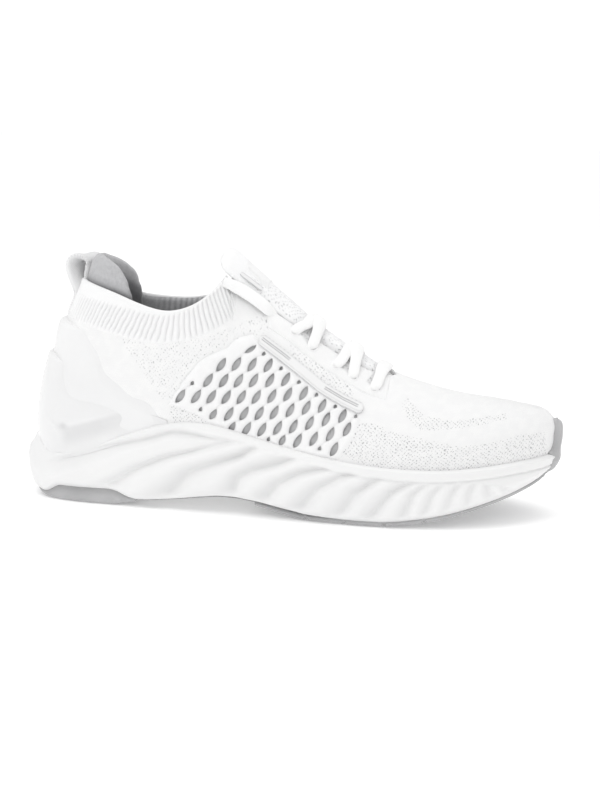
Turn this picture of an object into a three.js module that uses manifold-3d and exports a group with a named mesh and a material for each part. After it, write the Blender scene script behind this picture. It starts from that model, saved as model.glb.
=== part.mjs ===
// Knit running shoe, right foot, EU 42. +X points to the toe, +Y to the inner (medial) side, +Z up.
// The origin is on the ground under the centre of the heel tread. All sizes are in millimetres.
// Tables and cuts measure x from the rearmost point of the sole; solids are shifted by HEEL_X.
// Every upper piece is a layer of one "last" surface: a ring of stations round the foot, each with
// five rows of points from the sole to the collar or to the ridge of the instep.
import * as THREE from "three";
import { mergeVertices } from "three/addons/utils/BufferGeometryUtils.js";
import Module from "manifold-3d";

const wasm = await Module();
wasm.setup();

// ---- driving dimensions ----------------------------------------------------------------------
const HEEL_X = 45; // heel tread centre
const FLEX_X = 203; // toe-break line: hinge of the forefoot
const FLEX_Z = 25;
const FLEX_DEG = 28; // how far the forefoot bends up
const FLEX_CUT = 0.25; // each half stops this far from the toe-break line
const NOTCH_CUT = 0.7; // the notch above the hinge starts this far in front of it
const KNIT_T = 2.2; // knit upper thickness
const LIP_T = 2.4; // wall of the midsole rim
const GAP = 0.4; // clearance between neighbouring layers
const OVERLAY_OUT = 0.35; // underside of the panels that lie on the knit
const TOE_IN = 4.4; // depth of the toe box's back edge inside the rear upper, to slide under it

// Stations run from 0 (heel centre) to 21 (toe tip). The whole ring is 0..21 on the outer
// (lateral) side and 41..22 back along the inner (medial) side, so -s faces station s.
const TOE = 21;
const RING = 2 * TOE;
const RIDGE = 10; // from this station on, the two sides meet along the instep
const TOP_ROW = 4;

// One line per station; five [x, y, z] points from the sole to the top edge.
const LATERAL = [
  [[12,0,24],[8.5,0,40],[11.5,0,64],[19.5,0,92],[30.6,0,120.6]],
  [[14.5,-13,24],[11.5,-14.5,40],[14.3,-14,64],[21.8,-11.5,92],[32.5,-9,120.5]],
  [[21,-22.5,24.5],[18.5,-25,40],[21,-25,64],[28,-20.5,92],[37.5,-16,119.5]],
  [[32,-28,25],[31,-30.5,41],[32.5,-31,64],[38.5,-27.5,91],[46,-23.5,117.8]],
  [[48,-30.5,25.5],[48,-33,42],[48.5,-34,64],[51,-31.5,89],[56,-28.3,115.2]],
  [[65,-31.3,25.5],[65,-34,43],[65.5,-34.8,64],[66.5,-33,87],[69,-30.5,110.5]],
  [[82,-31.8,25.5],[82,-34.5,44],[82,-35,63],[82.5,-33.8,84],[84,-31,107]],
  [[98,-32.2,25.2],[98,-35,45],[98,-35,63],[97.5,-33.5,85],[97.5,-29.8,110.3]],
  [[113,-33.3,25],[113,-36,44],[112,-35,64],[110.5,-31.5,90],[107.5,-25.5,117.5]],
  [[126,-34.8,24.6],[126,-37.3,43],[124.5,-35,66],[121,-28,94],[114.5,-15,126]],
  [[138,-36.8,24.2],[138,-39,42],[136,-35.5,66],[131,-25,98],[119,0,131.5]],
  [[152,-39.5,23.8],[152,-42,41],[150.5,-37,63],[147,-25,90],[143,0,114]],
  [[168,-43,23.4],[168,-45,39],[167,-39,58.5],[165,-26,80],[163,0,99]],
  [[185,-45.8,23],[185,-47.5,37.5],[184.5,-41,54.5],[183.5,-26,71.5],[182.5,0,86.3]],
  [[203,-47,23],[203,-48.3,36.5],[203,-41.5,51.5],[203,-26,65.5],[203,0,76]],
  [[221,-45.8,23.5],[221.5,-47,36.5],[221.5,-40,50],[221,-25,62.3],[221,1,69.6]],
  [[238,-41.8,25],[239,-43.2,37.5],[238.5,-37,49.5],[237,-23.5,60],[236,2,65.6]],
  [[254,-35.3,27],[255,-36.8,39],[254.5,-31.5,50],[252,-20,59],[249.5,3,63.2]],
  [[268,-27,29],[269.5,-28.2,40.5],[269,-24,51],[265.5,-15,58.6],[261,4,61.9]],
  [[280,-16,31],[281.5,-16.8,42],[280.8,-14.3,52],[276.5,-8.5,58.3],[270.5,4.5,60.6]],
  [[288.5,-5,32.3],[290,-5.3,43],[289,-4.5,52.3],[284.5,-2,57.9],[277.5,4.8,59.5]],
  [[291.3,6,33],[293,6,43.5],[292,6,52.5],[287.5,5.5,57.4],[281,5,58.8]],
];
// The same for stations 1 to 20; the heel centre and toe tip belong to LATERAL.
const MEDIAL = [
  null,
  [[14.5,13,24],[11.5,14.5,40],[14.3,14,64],[21.8,11.5,92],[32.5,9,120.5]],
  [[21,22.5,24.5],[18.5,25,40],[21,25,64],[28,20.5,92],[37.5,16,119.5]],
  [[32,28,25],[31,30.3,41],[32.5,30.8,64],[38.5,27.3,91],[46,23.3,114.8]],
  [[48,29.5,25.5],[48,32.3,42],[48.5,33.5,64],[51,31,89],[56,27.8,110.2]],
  [[65,28.8,25.5],[65,32,43.5],[65.5,33.5,64],[66.5,32.3,87.5],[69,29.6,108.6]],
  [[82,27.4,25.5],[82,31.2,45],[82,33,63.5],[82.5,32.8,85],[84,30,108.3]],
  [[98,26.6,25.2],[98,30.8,46],[98,32,64],[97.5,31.8,85.5],[97.5,29,110.8]],
  [[113,27,25],[113,31,45.5],[112,31.5,65],[110.5,30,90.5],[107.5,25,117.5]],
  [[126,28.3,24.6],[126,31.8,44.5],[124.5,31.5,67],[121,27,94.5],[114.5,15,126]],
  [[138,30.5,24.2],[138,33.5,43.5],[136,32,67],[131,24,98.5],[119,0,131.5]],
  [[152,34,23.8],[152,36.5,42],[150.5,33.5,64.5],[147,24,90.5],[143,0,114]],
  [[168,38.5,23.4],[168,40.5,40],[167,36.5,60],[165,25.5,80.5],[163,0,99]],
  [[185,43,23],[185,44.8,38.5],[184.5,39.5,56],[183.5,26.5,72],[182.5,0,86.3]],
  [[203,46.8,23],[203,48.3,37],[203,42,53],[203,27.5,66.5],[203,0,76]],
  [[221,48.3,23.5],[221.5,49.6,37],[221.5,43,51.5],[221,28.5,63.3],[221,1,69.6]],
  [[238,47,25],[239,48.4,37.5],[238.5,42.5,50.5],[237,29,60.7],[236,2,65.6]],
  [[254,43,27],[255,44.5,39],[254.5,39,50.5],[252,27,59.6],[249.5,3,63.2]],
  [[268,36.5,29],[269.5,37.7,40.5],[269,33.5,51],[265.5,24,58.9],[261,4,61.9]],
  [[280,27,31],[281.5,27.8,42],[280.8,25,52],[276.5,18,58.4],[270.5,4.5,60.6]],
  [[288.5,16,32.3],[290,16.3,43],[289,15.3,52.3],[284.5,12.5,57.9],[277.5,4.8,59.5]],
];
// Plan outline of the sole at its widest, [x, y] at the same stations.
const SOLE_LATERAL = [
  [0,0],[2.5,-14.5],[10.5,-26.5],[26,-34.5],[46,-38],[65,-38.7],[82,-38.5],[98,-39],
  [113,-40],[126,-41.3],[139,-43.3],[153,-46],[169,-49.3],[186,-51.8],[204,-52.6],
  [222,-50.8],[240,-46.3],[257,-39.3],[271.5,-30],[283,-18.3],[290.8,-5.5],[293.8,7],
];
const SOLE_MEDIAL = [
  null,[2.5,14.5],[10.5,26.5],[26,34.3],[46,37.5],[65,36.5],[82,34.8],[98,34],
  [113,34.2],[126,35.3],[139,37.5],[153,41],[169,45.5],[186,49.8],[204,53],
  [222,54],[240,52.2],[257,47.8],[271.5,40.3],[283,30.5],[290.8,19.5],
];
// Height of the midsole rim, and of the foot bed, at each station.
const RIM_Z = [
  36.5,34.5,25.5,27,32.5,39,44.6,47,46.2,43.5,40.7,37.8,35,32.4,30.8,30,30,31,32.4,33.2,33.7,33.8,
];
const BED_Z = [
  22.5,22.5,22.5,22.5,22.8,23,23,23,23,23,23,23,22.8,22.5,22.4,22.8,24,26,28,30,31,31.5,
];
// [x, z] profiles along the length: underside of the rubber, and underside of the foam.
const RUBBER_Z = [
  [-5,18],[0,12],[2,8.5],[5,5],[9,2.4],[14,0.7],[19,0],[58,0],[62,1],[68,2.2],[75,2.6],
  [95,4.4],[115,6.8],[125,6.8],[140,4.2],[155,1.4],[163,0],[205,0],[215,0.9],[230,3],
  [240,5],[251,7.8],[261,10.8],[271,14],[281,17.8],[288.5,21],[293,24],[298,28],
];
const FOAM_Z = [
  [-5,21],[0,13.5],[2,10.4],[5,6.8],[9,4.2],[13,3.2],[17,3.6],[21.6,6.5],[24,8],[54,8.6],
  [58,7.8],[64,5],[69,3.6],[75,3.6],[83,4.3],[95,5.6],[105,7],[115,8.2],[125,8.2],[137,6.9],
  [150,5],[163,3],[175,2.4],[205,2.4],[215,3.3],[230,5.4],[240,7.4],[251,10.3],[261,13.3],
  [271,16.6],[281,20.4],[288.5,23.7],[293,26.7],[298,31],
];

// ---- curves ----------------------------------------------------------------------------------
const vec = (x, y, z) => new THREE.Vector3(x, y, z);
const steps = (start, end, cells) =>
  Array.from({ length: cells + 1 }, (_, i) => start + ((end - start) * i) / cells);

// Catmull-Rom value between b and c, with neighbours a and d.
const catmull = (a, b, c, d, part) => 0.5 * (
  2 * b + (c - a) * part
  + (2 * a - 5 * b + 4 * c - d) * part * part
  + (3 * b - a - 3 * c + d) * part * part * part
);
const splinePoint = (pointAt, first, part) => {
  const near = [-1, 0, 1, 2].map((step) => pointAt(first + step));
  const value = (axis) => catmull(...near.map((point) => point[axis]), part);
  return vec(value("x"), value("y"), value("z"));
};
const splineValue = (table, station) => {
  const last = table.length - 1;
  const i = Math.min(last - 1, Math.floor(station));
  const near = [Math.max(0, i - 1), i, i + 1, Math.min(last, i + 2)].map((index) => table[index]);
  return catmull(...near, station - i);
};
// Straight-line reading of an [x, value] table, held constant past its ends.
const linear = (table, x) => {
  let i = 0;
  while (i < table.length - 2 && x > table[i + 1][0]) i++;
  const [startX, start] = table[i];
  const [endX, end] = table[i + 1];
  return start + (end - start) * Math.min(1, Math.max(0, (x - startX) / (endX - startX)));
};

const wrap = (ring) => ((ring % RING) + RING) % RING;
const stationAt = (ring) => Math.min(wrap(ring), RING - wrap(ring));
const isLateral = (index) => wrap(index) <= TOE;

// ---- last surface ----------------------------------------------------------------------------
// "ring" is the place round the ring, "rise" goes from the sole (0) to the top edge (1),
// and "out" is the distance outward from the surface.
const pointBeyond = (end, before) => vec(...end).multiplyScalar(2).sub(vec(...before));
const upperPoint = (index, row) => {
  const station = stationAt(index);
  const [own, other] = isLateral(index) ? [LATERAL, MEDIAL] : [MEDIAL, LATERAL];
  const rows = own[station];
  if (row < 0) return pointBeyond(rows[0], rows[1]);
  if (row <= TOP_ROW) return vec(...rows[row]);
  // Over the ridge the surface goes on down the other side.
  if (station >= RIDGE && station < TOE) return vec(...other[station][TOP_ROW - 1]);
  return pointBeyond(rows[TOP_ROW], rows[TOP_ROW - 1]);
};
const rowPoint = (ring, row) => {
  const first = Math.floor(ring);
  return splinePoint((index) => upperPoint(index, row), first, ring - first);
};
const EDGE_STEP = 0.02; // rise over which the slope at the top edge is taken
const lastPoint = (ring, rise) => {
  const height = Math.min(rise, 1) * TOP_ROW;
  const first = Math.min(TOP_ROW - 1, Math.floor(Math.max(0, height)));
  const point = splinePoint((row) => rowPoint(ring, row), first, height - first);
  if (rise > 1) {
    // Straight on above the edge.
    const slope = lastPoint(ring, 1).sub(lastPoint(ring, 1 - EDGE_STEP));
    point.add(slope.multiplyScalar((rise - 1) / EDGE_STEP));
  }
  return point;
};
const sideNormal = (ring, rise) => {
  const level = Math.min(rise, 0.985);
  const forward = lastPoint(ring + 0.02, level).sub(lastPoint(ring - 0.02, level));
  const upward = lastPoint(ring, level + 0.01).sub(lastPoint(ring, level - 0.01));
  return forward.cross(upward).normalize();
};
// Outward normal; near the ridge the two sides share one, so that layers meet there.
const lastNormal = (ring, rise) => {
  const normal = sideNormal(ring, rise);
  const onRidge = rise > 0.97 && stationAt(Math.round(ring)) >= RIDGE;
  return onRidge ? normal.add(sideNormal(-ring, rise)).normalize() : normal;
};
const offsetPoint = (ring, rise, out) =>
  lastPoint(ring, rise).add(lastNormal(ring, rise).multiplyScalar(out));

const bisect = (low, high, isTooLow) => {
  for (let i = 0; i < 30; i++) {
    const middle = (low + high) / 2;
    if (isTooLow(middle)) low = middle;
    else high = middle;
  }
  return (low + high) / 2;
};
const riseAtZ = (ring, z) => bisect(0, 1, (rise) => lastPoint(ring, rise).z < z);
const riseAtY = (ring, y) => bisect(0.5, 1, (rise) => Math.abs(lastPoint(ring, rise).y) > y);
// Turns a [station, z] table into a rise at each place of the ring.
const riseFrom = (heights) => (ring) => riseAtZ(ring, linear(heights, stationAt(ring)));

const solePoint = (index) =>
  vec(...(isLateral(index) ? SOLE_LATERAL : SOLE_MEDIAL)[stationAt(index)], 0);
const soleRing = (ring) => {
  const first = Math.floor(ring);
  return splinePoint(solePoint, first, ring - first);
};
const soleEdge = (ring, out) => {
  const tangent = soleRing(ring + 0.02).sub(soleRing(ring - 0.02)).normalize();
  return soleRing(ring).add(vec(tangent.y, -tangent.x, 0).multiplyScalar(out));
};

// ---- solids ----------------------------------------------------------------------------------
const manifold = (geometry, indices) => new wasm.Manifold(new wasm.Mesh({
  numProp: 3,
  vertProperties: new Float32Array(geometry.attributes.position.array),
  triVerts: new Uint32Array(indices),
}));
// Welds a list of three-point triangles into a solid that faces outwards.
const solid = (triangles) => {
  const positions = triangles.flat().flatMap(({ x, y, z }) => [x - HEEL_X, y, z]);
  const attribute = new THREE.Float32BufferAttribute(positions, 3);
  const soup = new THREE.BufferGeometry().setAttribute("position", attribute);
  const geometry = mergeVertices(soup, 2e-3);
  const source = geometry.index.array;
  const kept = [];
  for (let i = 0; i < source.length; i += 3) {
    const [a, b, c] = source.slice(i, i + 3);
    if (a !== b && b !== c && a !== c) kept.push([a, b, c]);
  }
  const result = manifold(geometry, kept.flat());
  if (result.volume() >= 0) return result;
  return manifold(geometry, kept.flatMap(([a, b, c]) => [a, c, b]));
};
const quad = (a, b, c, d) => [[a, b, c], [a, c, d]];
const quadBack = (a, b, c, d) => [[a, c, b], [a, d, c]];

// A layer between two grids of points. openTop leaves the last row open, where two halves meet.
const layer = (outer, inner, openTop = false) => {
  const triangles = [];
  const rows = outer.length - 1;
  const top = outer[0].length - 1;
  for (let i = 0; i < rows; i++) {
    for (let j = 0; j < top; j++) {
      const cell = (grid) => [grid[i][j], grid[i + 1][j], grid[i + 1][j + 1], grid[i][j + 1]];
      triangles.push(...quad(...cell(outer)), ...quadBack(...cell(inner)));
    }
  }
  for (let i = 0; i < rows; i++) {
    triangles.push(...quad(outer[i][0], inner[i][0], inner[i + 1][0], outer[i + 1][0]));
    if (openTop) continue;
    triangles.push(...quad(outer[i][top], outer[i + 1][top], inner[i + 1][top], inner[i][top]));
  }
  for (let j = 0; j < top; j++) {
    triangles.push(
      ...quad(outer[0][j], outer[0][j + 1], inner[0][j + 1], inner[0][j]),
      ...quad(outer[rows][j], inner[rows][j], inner[rows][j + 1], outer[rows][j + 1]),
    );
  }
  return solid(triangles);
};
// A patch of the last surface. ring: [start, end, cells]; rise: [bottom, top, cells], where the
// limits are numbers or functions of ring; out: [outer, inner] faces, numbers or functions of
// ring and of the part of the way up the patch.
const patch = ({ ring: [start, end, ringCells], rise, out, openTop }) => {
  const asFunction = (value) => (typeof value === "function" ? value : () => value);
  const [bottom, top] = rise.slice(0, 2).map(asFunction);
  const face = (outAt) => steps(start, end, ringCells).map((ring) => {
    const low = bottom(ring);
    const height = top(ring) - low;
    return steps(0, 1, rise[2])
      .map((part) => offsetPoint(ring, low + height * part, outAt(ring, part)));
  });
  const [outer, inner] = out.map((value) => face(asFunction(value)));
  return layer(outer, inner, openTop);
};
// A closed plate through ring-shaped levels, capped across underneath and on top.
const plate = (levels, cells) => {
  const ACROSS = 2; // cells across each cap
  const rings = levels.map((level) => steps(0, RING, cells).map(level));
  const triangles = [];
  for (let k = 0; k + 1 < rings.length; k++) {
    const [low, high] = [rings[k], rings[k + 1]];
    for (let i = 0; i < cells; i++) {
      triangles.push(...quad(low[i], low[i + 1], high[i + 1], high[i]));
    }
  }
  const cap = (ring, face) => {
    const across = (i) => steps(0, 1, ACROSS)
      .map((part) => ring[i].clone().lerp(ring[(cells - i) % cells], part));
    for (let i = 0; i < cells / 2; i++) {
      const [back, front] = [across(i), across(i + 1)];
      for (let j = 0; j < ACROSS; j++) {
        triangles.push(...face(back[j], front[j], front[j + 1], back[j + 1]));
      }
    }
  };
  cap(rings[0], quadBack);
  cap(rings.at(-1), quad);
  return solid(triangles);
};

// Cutting blocks: XZ polygons swept along Y, wider than the shoe.
const CUT = { halfWidth: 120, back: -60, front: 400, bottom: -60, top: 200 };
const prism = (outline) => {
  const shape = new THREE.Shape(outline.map(([x, z]) => new THREE.Vector2(x, z)));
  const options = { depth: 2 * CUT.halfWidth, bevelEnabled: false };
  const geometry = new THREE.ExtrudeGeometry(shape, options);
  geometry.rotateX(Math.PI / 2);
  geometry.translate(-HEEL_X, CUT.halfWidth, 0);
  geometry.deleteAttribute("normal");
  geometry.deleteAttribute("uv");
  const welded = mergeVertices(geometry, 1e-4);
  return manifold(welded, welded.index.array);
};
const slice = (back, front) =>
  prism([[back, CUT.bottom], [front, CUT.bottom], [front, CUT.top], [back, CUT.top]]);
// Behind the toe break, and in front of it with a notch above the hinge for the bend.
const REAR = slice(CUT.back, FLEX_X - FLEX_CUT);
const NOTCH_RUN = (CUT.top - FLEX_Z) * Math.tan((FLEX_DEG * Math.PI) / 180);
const FOREFOOT = prism([
  [FLEX_X + FLEX_CUT, CUT.bottom],
  [CUT.front, CUT.bottom],
  [CUT.front, CUT.top],
  [FLEX_X + NOTCH_CUT + NOTCH_RUN, CUT.top],
  [FLEX_X + NOTCH_CUT, FLEX_Z],
  [FLEX_X + FLEX_CUT, FLEX_Z - 1],
]);

// ---- materials and naming --------------------------------------------------------------------
const WHITE = 0xf3f3f2;
const GREY = 0x9a9b9d;
const MID_GREY = 0xb9babc;
const FINISH = {
  matt: { color: WHITE, roughness: 0.85 }, // knit, foam and laces
  soft: { color: WHITE, roughness: 0.95 }, // tongue
  label: { color: WHITE, roughness: 0.8 },
  film: { color: WHITE, roughness: 0.4 },
  moulded: { color: WHITE, roughness: 0.35 }, // heel clip and trim
  rubber: { color: GREY, roughness: 0.7 },
  sock: { color: GREY, roughness: 0.85 },
  lining: { color: GREY, roughness: 0.95 },
  board: { color: MID_GREY, roughness: 0.85 },
};
const root = new THREE.Group();
const add = (name, piece, finish = FINISH.matt) => {
  const { vertProperties, triVerts } = piece.getMesh();
  const geometry = new THREE.BufferGeometry()
    .setAttribute("position", new THREE.BufferAttribute(new Float32Array(vertProperties), 3))
    .setIndex(new THREE.BufferAttribute(new Uint32Array(triVerts), 1));
  geometry.computeVertexNormals();
  const material = new THREE.MeshStandardMaterial({ ...finish, metalness: 0 });
  const mesh = new THREE.Mesh(geometry, material);
  mesh.name = name;
  root.add(mesh);
};
const addHalves = (name, piece, finish) => {
  add(name + "_rear", piece.intersect(REAR), finish);
  add(name + "_forefoot", piece.intersect(FOREFOOT), finish);
};

// ---- sole ------------------------------------------------------------------------------------
const foamZ = (x) => linear(FOAM_Z, x);
const rimZ = (ring) => splineValue(RIM_Z, stationAt(ring));
const bedZ = (ring) => splineValue(BED_Z, stationAt(ring));
const wallPoint = (ring, z, out) => offsetPoint(ring, riseAtZ(ring, z), out).setZ(z);
const rimPoint = (ring, out) => wallPoint(ring, rimZ(ring), out);
const raised = (point, heightAt) => point.setZ(heightAt(point.x));
// A ring at the foot bed, raised by lift.
const bedLevel = (out, lift) => (ring) => offsetPoint(ring, 0.01, out).setZ(bedZ(ring) + lift);

const SOLE_CELLS = 84;
const midsole = plate([
  (ring) => raised(soleEdge(ring, -5), foamZ),
  (ring) => raised(soleEdge(ring, -1.4), (x) => foamZ(x) + 2.6),
  (ring) => raised(soleEdge(ring, 0), (x) => foamZ(x) * 0.55 + rimZ(ring) * 0.32 + 2),
  (ring) => raised(
    soleEdge(ring, -0.6).lerp(rimPoint(ring, GAP + LIP_T), 0.4),
    (x) => foamZ(x) * 0.28 + rimZ(ring) * 0.68,
  ),
  (ring) => rimPoint(ring, GAP + LIP_T),
  (ring) => rimPoint(ring, GAP),
  bedLevel(GAP, 0),
], SOLE_CELLS);
addHalves("midsole", midsole);

const rubber = plate([
  (ring) => raised(soleEdge(ring, -5.6), (x) => linear(RUBBER_Z, x)),
  (ring) => raised(soleEdge(ring, -5.2), (x) => foamZ(x) - 0.35),
], SOLE_CELLS);
add("outsole_heel", rubber.intersect(slice(-20, 69)), FINISH.rubber);
add("outsole_ball", rubber.intersect(slice(136, FLEX_X - FLEX_CUT)), FINISH.rubber);
add("outsole_toe", rubber.intersect(slice(FLEX_X + FLEX_CUT, CUT.front)), FINISH.rubber);

// Rubber toe guard, which climbs the tip of the toe box. [stations from the toe tip, top z]
const GUARD_TOP = [[0, 54], [0.4, 52.5], [0.7, 46], [0.9, 38], [1.15, 31]];
const guardFace = (soleOut, wallOut) => steps(19.85, 22.15, 14).map((ring) => {
  const bottom = foamZ(soleEdge(ring, 0).x) - 1.5;
  const top = linear(GUARD_TOP, Math.abs(ring - TOE));
  return steps(0, 1, 4).map((part) => {
    const z = bottom * (1 - part) + top * part;
    const point = soleEdge(ring, soleOut);
    if (part >= 0.5) point.lerp(wallPoint(ring, z, wallOut), (part - 0.5) * 1.9);
    return point.setZ(z);
  });
});
const guardParts = layer(guardFace(3.2, 3.2), guardFace(0.5, 0.8)).subtract(midsole).decompose();
const [toeGuard] = guardParts.sort((a, b) => b.volume() - a.volume()); // the largest part
add("toe_guard", toeGuard, FINISH.rubber);

// ---- inside the shoe -------------------------------------------------------------------------
const INSOLE_CELLS = 60;
const strobel = plate([bedLevel(-KNIT_T - 0.5, 0.4), bedLevel(-KNIT_T - 0.5, 1.6)], INSOLE_CELLS);
addHalves("strobel_board", strobel, FINISH.board);
const sockliner = plate([
  bedLevel(-KNIT_T - 2.4, 2),
  bedLevel(-KNIT_T - 1.9, 4),
  bedLevel(-KNIT_T - 2.4, 5.6),
], INSOLE_CELLS);
addHalves("sockliner", sockliner, FINISH.sock);

// ---- knit upper ------------------------------------------------------------------------------
const ribBottom = riseFrom([
  [0, 100], [2, 98], [3, 96.3], [4, 93.5], [5, 90.5], [6, 89.2], [7, 91.5], [8, 96.5],
  [9, 102.5], [9.5, 112],
]);
// Half width of the throat opening: [station, y].
const THROAT_Y = [[9, 15], [10, 14.5], [11, 13.5], [13, 12.5], [14, 12]];
const throatRise = (ring) => riseAtY(ring, linear(THROAT_Y, stationAt(ring)));
const quarterTop = (ring) => (stationAt(ring) <= 9.4 ? ribBottom(ring) : throatRise(ring));
const quarter = patch({
  ring: [-13.98, 13.98, 76], rise: [0, quarterTop, 8], out: [0, -KNIT_T],
});
add("knit_upper_rear", quarter.intersect(REAR));
add("rib_collar", patch({
  ring: [-9.2, 9.2, 52],
  rise: [
    (ring) => quarterTop(ring) + 0.02,
    (ring) => (stationAt(ring) <= 9 ? 1 : throatRise(ring)),
    3,
  ],
  out: [0, -KNIT_T],
}));

// Toe box: tucked in at the back, near flush at the toe.
const aboveBed = (ring) => riseAtZ(ring, bedZ(ring) + 6.5);
const toeBottom = (ring) => linear([[16.6, aboveBed(ring)], [17.4, 0.06]], stationAt(ring));
const toeOut = (ring) => -linear([[15.6, TOE_IN], [17, 0.3]], stationAt(ring));
const toeBox = patch({
  ring: [13.7, 28.3, 36],
  rise: [toeBottom, 1, 8],
  out: [toeOut, (ring) => toeOut(ring) - 1.9],
  openTop: true,
});
const hingeRelief = prism([
  [150, -10], [FLEX_X + NOTCH_CUT, -10], [FLEX_X + NOTCH_CUT, 34], [FLEX_X - 5, 45], [150, 45],
]);
const vamp = toeBox.intersect(slice(FLEX_X - 4.5, CUT.front)).subtract(hingeRelief);
add("knit_vamp_forefoot", vamp);
add("toe_puff", patch({ ring: [17.4, 24.6, 18], rise: [aboveBed, 0.92, 6], out: [-2.7, -3.7] }));

// ---- heel ------------------------------------------------------------------------------------
const aboveRim = (lift) => (ring) => riseAtZ(ring, rimZ(ring) + lift);
const LINING_OUT = -KNIT_T - GAP; // outer face of the pieces inside the knit

// Moulded counter film, the thicker clip over it, and the stiffener inside.
const filmTop = riseFrom([[0, 97], [2, 94], [3, 88], [4, 77], [5, 66], [6, 58], [6.4, 56]]);
add("heel_counter_film", patch({
  ring: [-6.3, 6.3, 32], rise: [aboveRim(1.2), filmTop, 6], out: [1.6, 0.65],
}), FINISH.film);
const clipTop = riseFrom([[0, 78], [1, 78], [2, 76], [3, 69], [4, 60], [5, 53], [5.6, 49]]);
add("heel_clip", patch({
  ring: [-5.5, 5.5, 28],
  rise: [aboveRim(1.5), clipTop, 4],
  out: [(ring, part) => 3.9 - 1.1 * part, 2.25],
}), FINISH.moulded);
add("heel_stiffener", patch({
  ring: [-4.6, 4.6, 22],
  rise: [(ring) => riseAtZ(ring, 31), riseFrom([[0, 84], [2, 80], [3.5, 66], [4.6, 50]]), 4],
  out: [LINING_OUT, -KNIT_T - 1.6],
}), FINISH.board);

// Padded tab round the back of the ankle, standing above the collar. Top edge: [station, z].
const PAD_LATERAL = [
  [0, 132], [1.5, 133.5], [2.4, 135], [3, 131], [3.6, 124], [4.1, 114], [4.3, 108],
];
const PAD_MEDIAL = [
  [0, 132], [1.5, 131.5], [2.4, 128.5], [3, 124], [3.6, 117], [4.1, 109], [4.3, 105],
];
const padTop = (ring) => {
  const z = linear(ring >= 0 ? PAD_LATERAL : PAD_MEDIAL, stationAt(ring));
  const edgeZ = lastPoint(ring, 1).z;
  if (z <= edgeZ) return riseAtZ(ring, z);
  return 1 + ((z - edgeZ) * EDGE_STEP) / (edgeZ - lastPoint(ring, 1 - EDGE_STEP).z);
};
const padInside = (ring, part) => -KNIT_T - 2 - 5.5 * Math.sin(Math.PI * (0.08 + 0.84 * part));
add("heel_tab_pad", patch({
  ring: [-4.3, 4.3, 24],
  rise: [(ring) => riseAtZ(ring, 86), padTop, 6],
  out: [-KNIT_T - 0.5, padInside],
}), FINISH.lining);

// ---- side panels -----------------------------------------------------------------------------
const SIDES = [["lateral", 1], ["medial", -1]]; // name, sign of ring
const liningBottom = riseFrom([[7.6, 74], [8, 76], [9, 86]]);
const meshBottom = riseFrom([[8, 53], [9, 48.5], [10, 44.5], [11, 41], [12, 38.3], [13.2, 35.5]]);
const meshTop = riseFrom([[8, 62], [9, 79], [10, 88], [11, 80], [12, 69], [13.2, 57]]);
for (const [side, sign] of SIDES) {
  add("collar_lining_" + side, patch({
    ring: [sign * 4.6, sign * 8.8, 12],
    rise: [liningBottom, 0.985, 4],
    out: [LINING_OUT, -KNIT_T - 1.9],
  }), FINISH.lining);
  // Open-mesh window on the midfoot, the trim strip above it, and its backing.
  const meshRing = [sign * 8, sign * 13.2];
  add("mesh_panel_" + side, patch({
    ring: [...meshRing, 14], rise: [meshBottom, meshTop, 5], out: [1.3, OVERLAY_OUT],
  }));
  add("trim_strip_" + side, patch({
    ring: [sign * 9.9, sign * 13.3, 12],
    rise: [(ring) => meshTop(ring) + 0.012, (ring) => meshTop(ring) + 0.065, 1],
    out: [1.9, OVERLAY_OUT],
  }), FINISH.moulded);
  add("panel_lining_" + side, patch({
    ring: [...meshRing, 12],
    rise: [meshBottom, meshTop, 4],
    out: [LINING_OUT, -KNIT_T - 1.3],
  }), FINISH.lining);
  add("eyestay_" + side, patch({
    ring: [sign * 10.6, sign * 13.75, 12],
    rise: [(ring) => riseAtY(ring, 21), (ring) => throatRise(ring) - 0.004, 2],
    out: [1.5, OVERLAY_OUT],
  }));
}

// ---- tongue ----------------------------------------------------------------------------------
// The base, under the laces.
const tongueFace = (halfWidth, out) => steps(11.55, 13.2, 8).map((station) =>
  steps(-1, 1, 8).map((across) => {
    const ring = across < 0 ? station : -station;
    const y = Math.abs(across) * halfWidth;
    return offsetPoint(ring, y < 0.01 ? 1 : riseAtY(ring, y), out);
  }));
const tongueBase = layer(tongueFace(19, -KNIT_T - 0.5), tongueFace(18, -KNIT_T - 3.4));
add("tongue_base", tongueBase, FINISH.soft);

// The free upper part, from the front up: x, z, half width, half thickness.
const TIP = [
  [148.5, 105.4, 12, 2.7], [141, 111.1, 12.4, 2.8], [131, 118.6, 12.8, 2.8],
  [122.5, 125.2, 13.2, 2.9], [116, 130.8, 14.2, 2.9], [111.4, 135.6, 16.2, 2.7],
  [109.2, 138.2, 15.5, 2.2],
];
const tipMiddle = TIP.map(([x, z]) => vec(x, 0, z));
// face is 1 for the upper face and -1 for the lower; widthShare narrows the grid.
const tipGrid = (face, { lift = 0, rows = [...TIP.keys()], widthShare = 1 } = {}) =>
  rows.map((row) => {
    const [, , halfWidth, halfThickness] = TIP[row];
    const next = tipMiddle[Math.min(row + 1, TIP.length - 1)];
    const tangent = next.clone().sub(tipMiddle[Math.max(row - 1, 0)]).normalize();
    const normal = vec(tangent.z, 0, -tangent.x);
    return steps(-1, 1, 8).map((across) => {
      const y = across * halfWidth * widthShare;
      const thinning = Math.sqrt(1 - 0.72 * (across * widthShare) ** 2);
      const curl = 0.012 * y * y; // the sides droop towards the foot
      return tipMiddle[row].clone()
        .add(normal.clone().multiplyScalar(face * halfThickness * thinning + lift))
        .add(vec(-curl * 0.6, y, -curl * 0.8));
    });
  });
add("tongue_tip", layer(tipGrid(1), tipGrid(-1)), FINISH.soft);
const labelFace = (lift) => tipGrid(1, { lift, rows: [2, 3, 4], widthShare: 0.72 });
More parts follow.
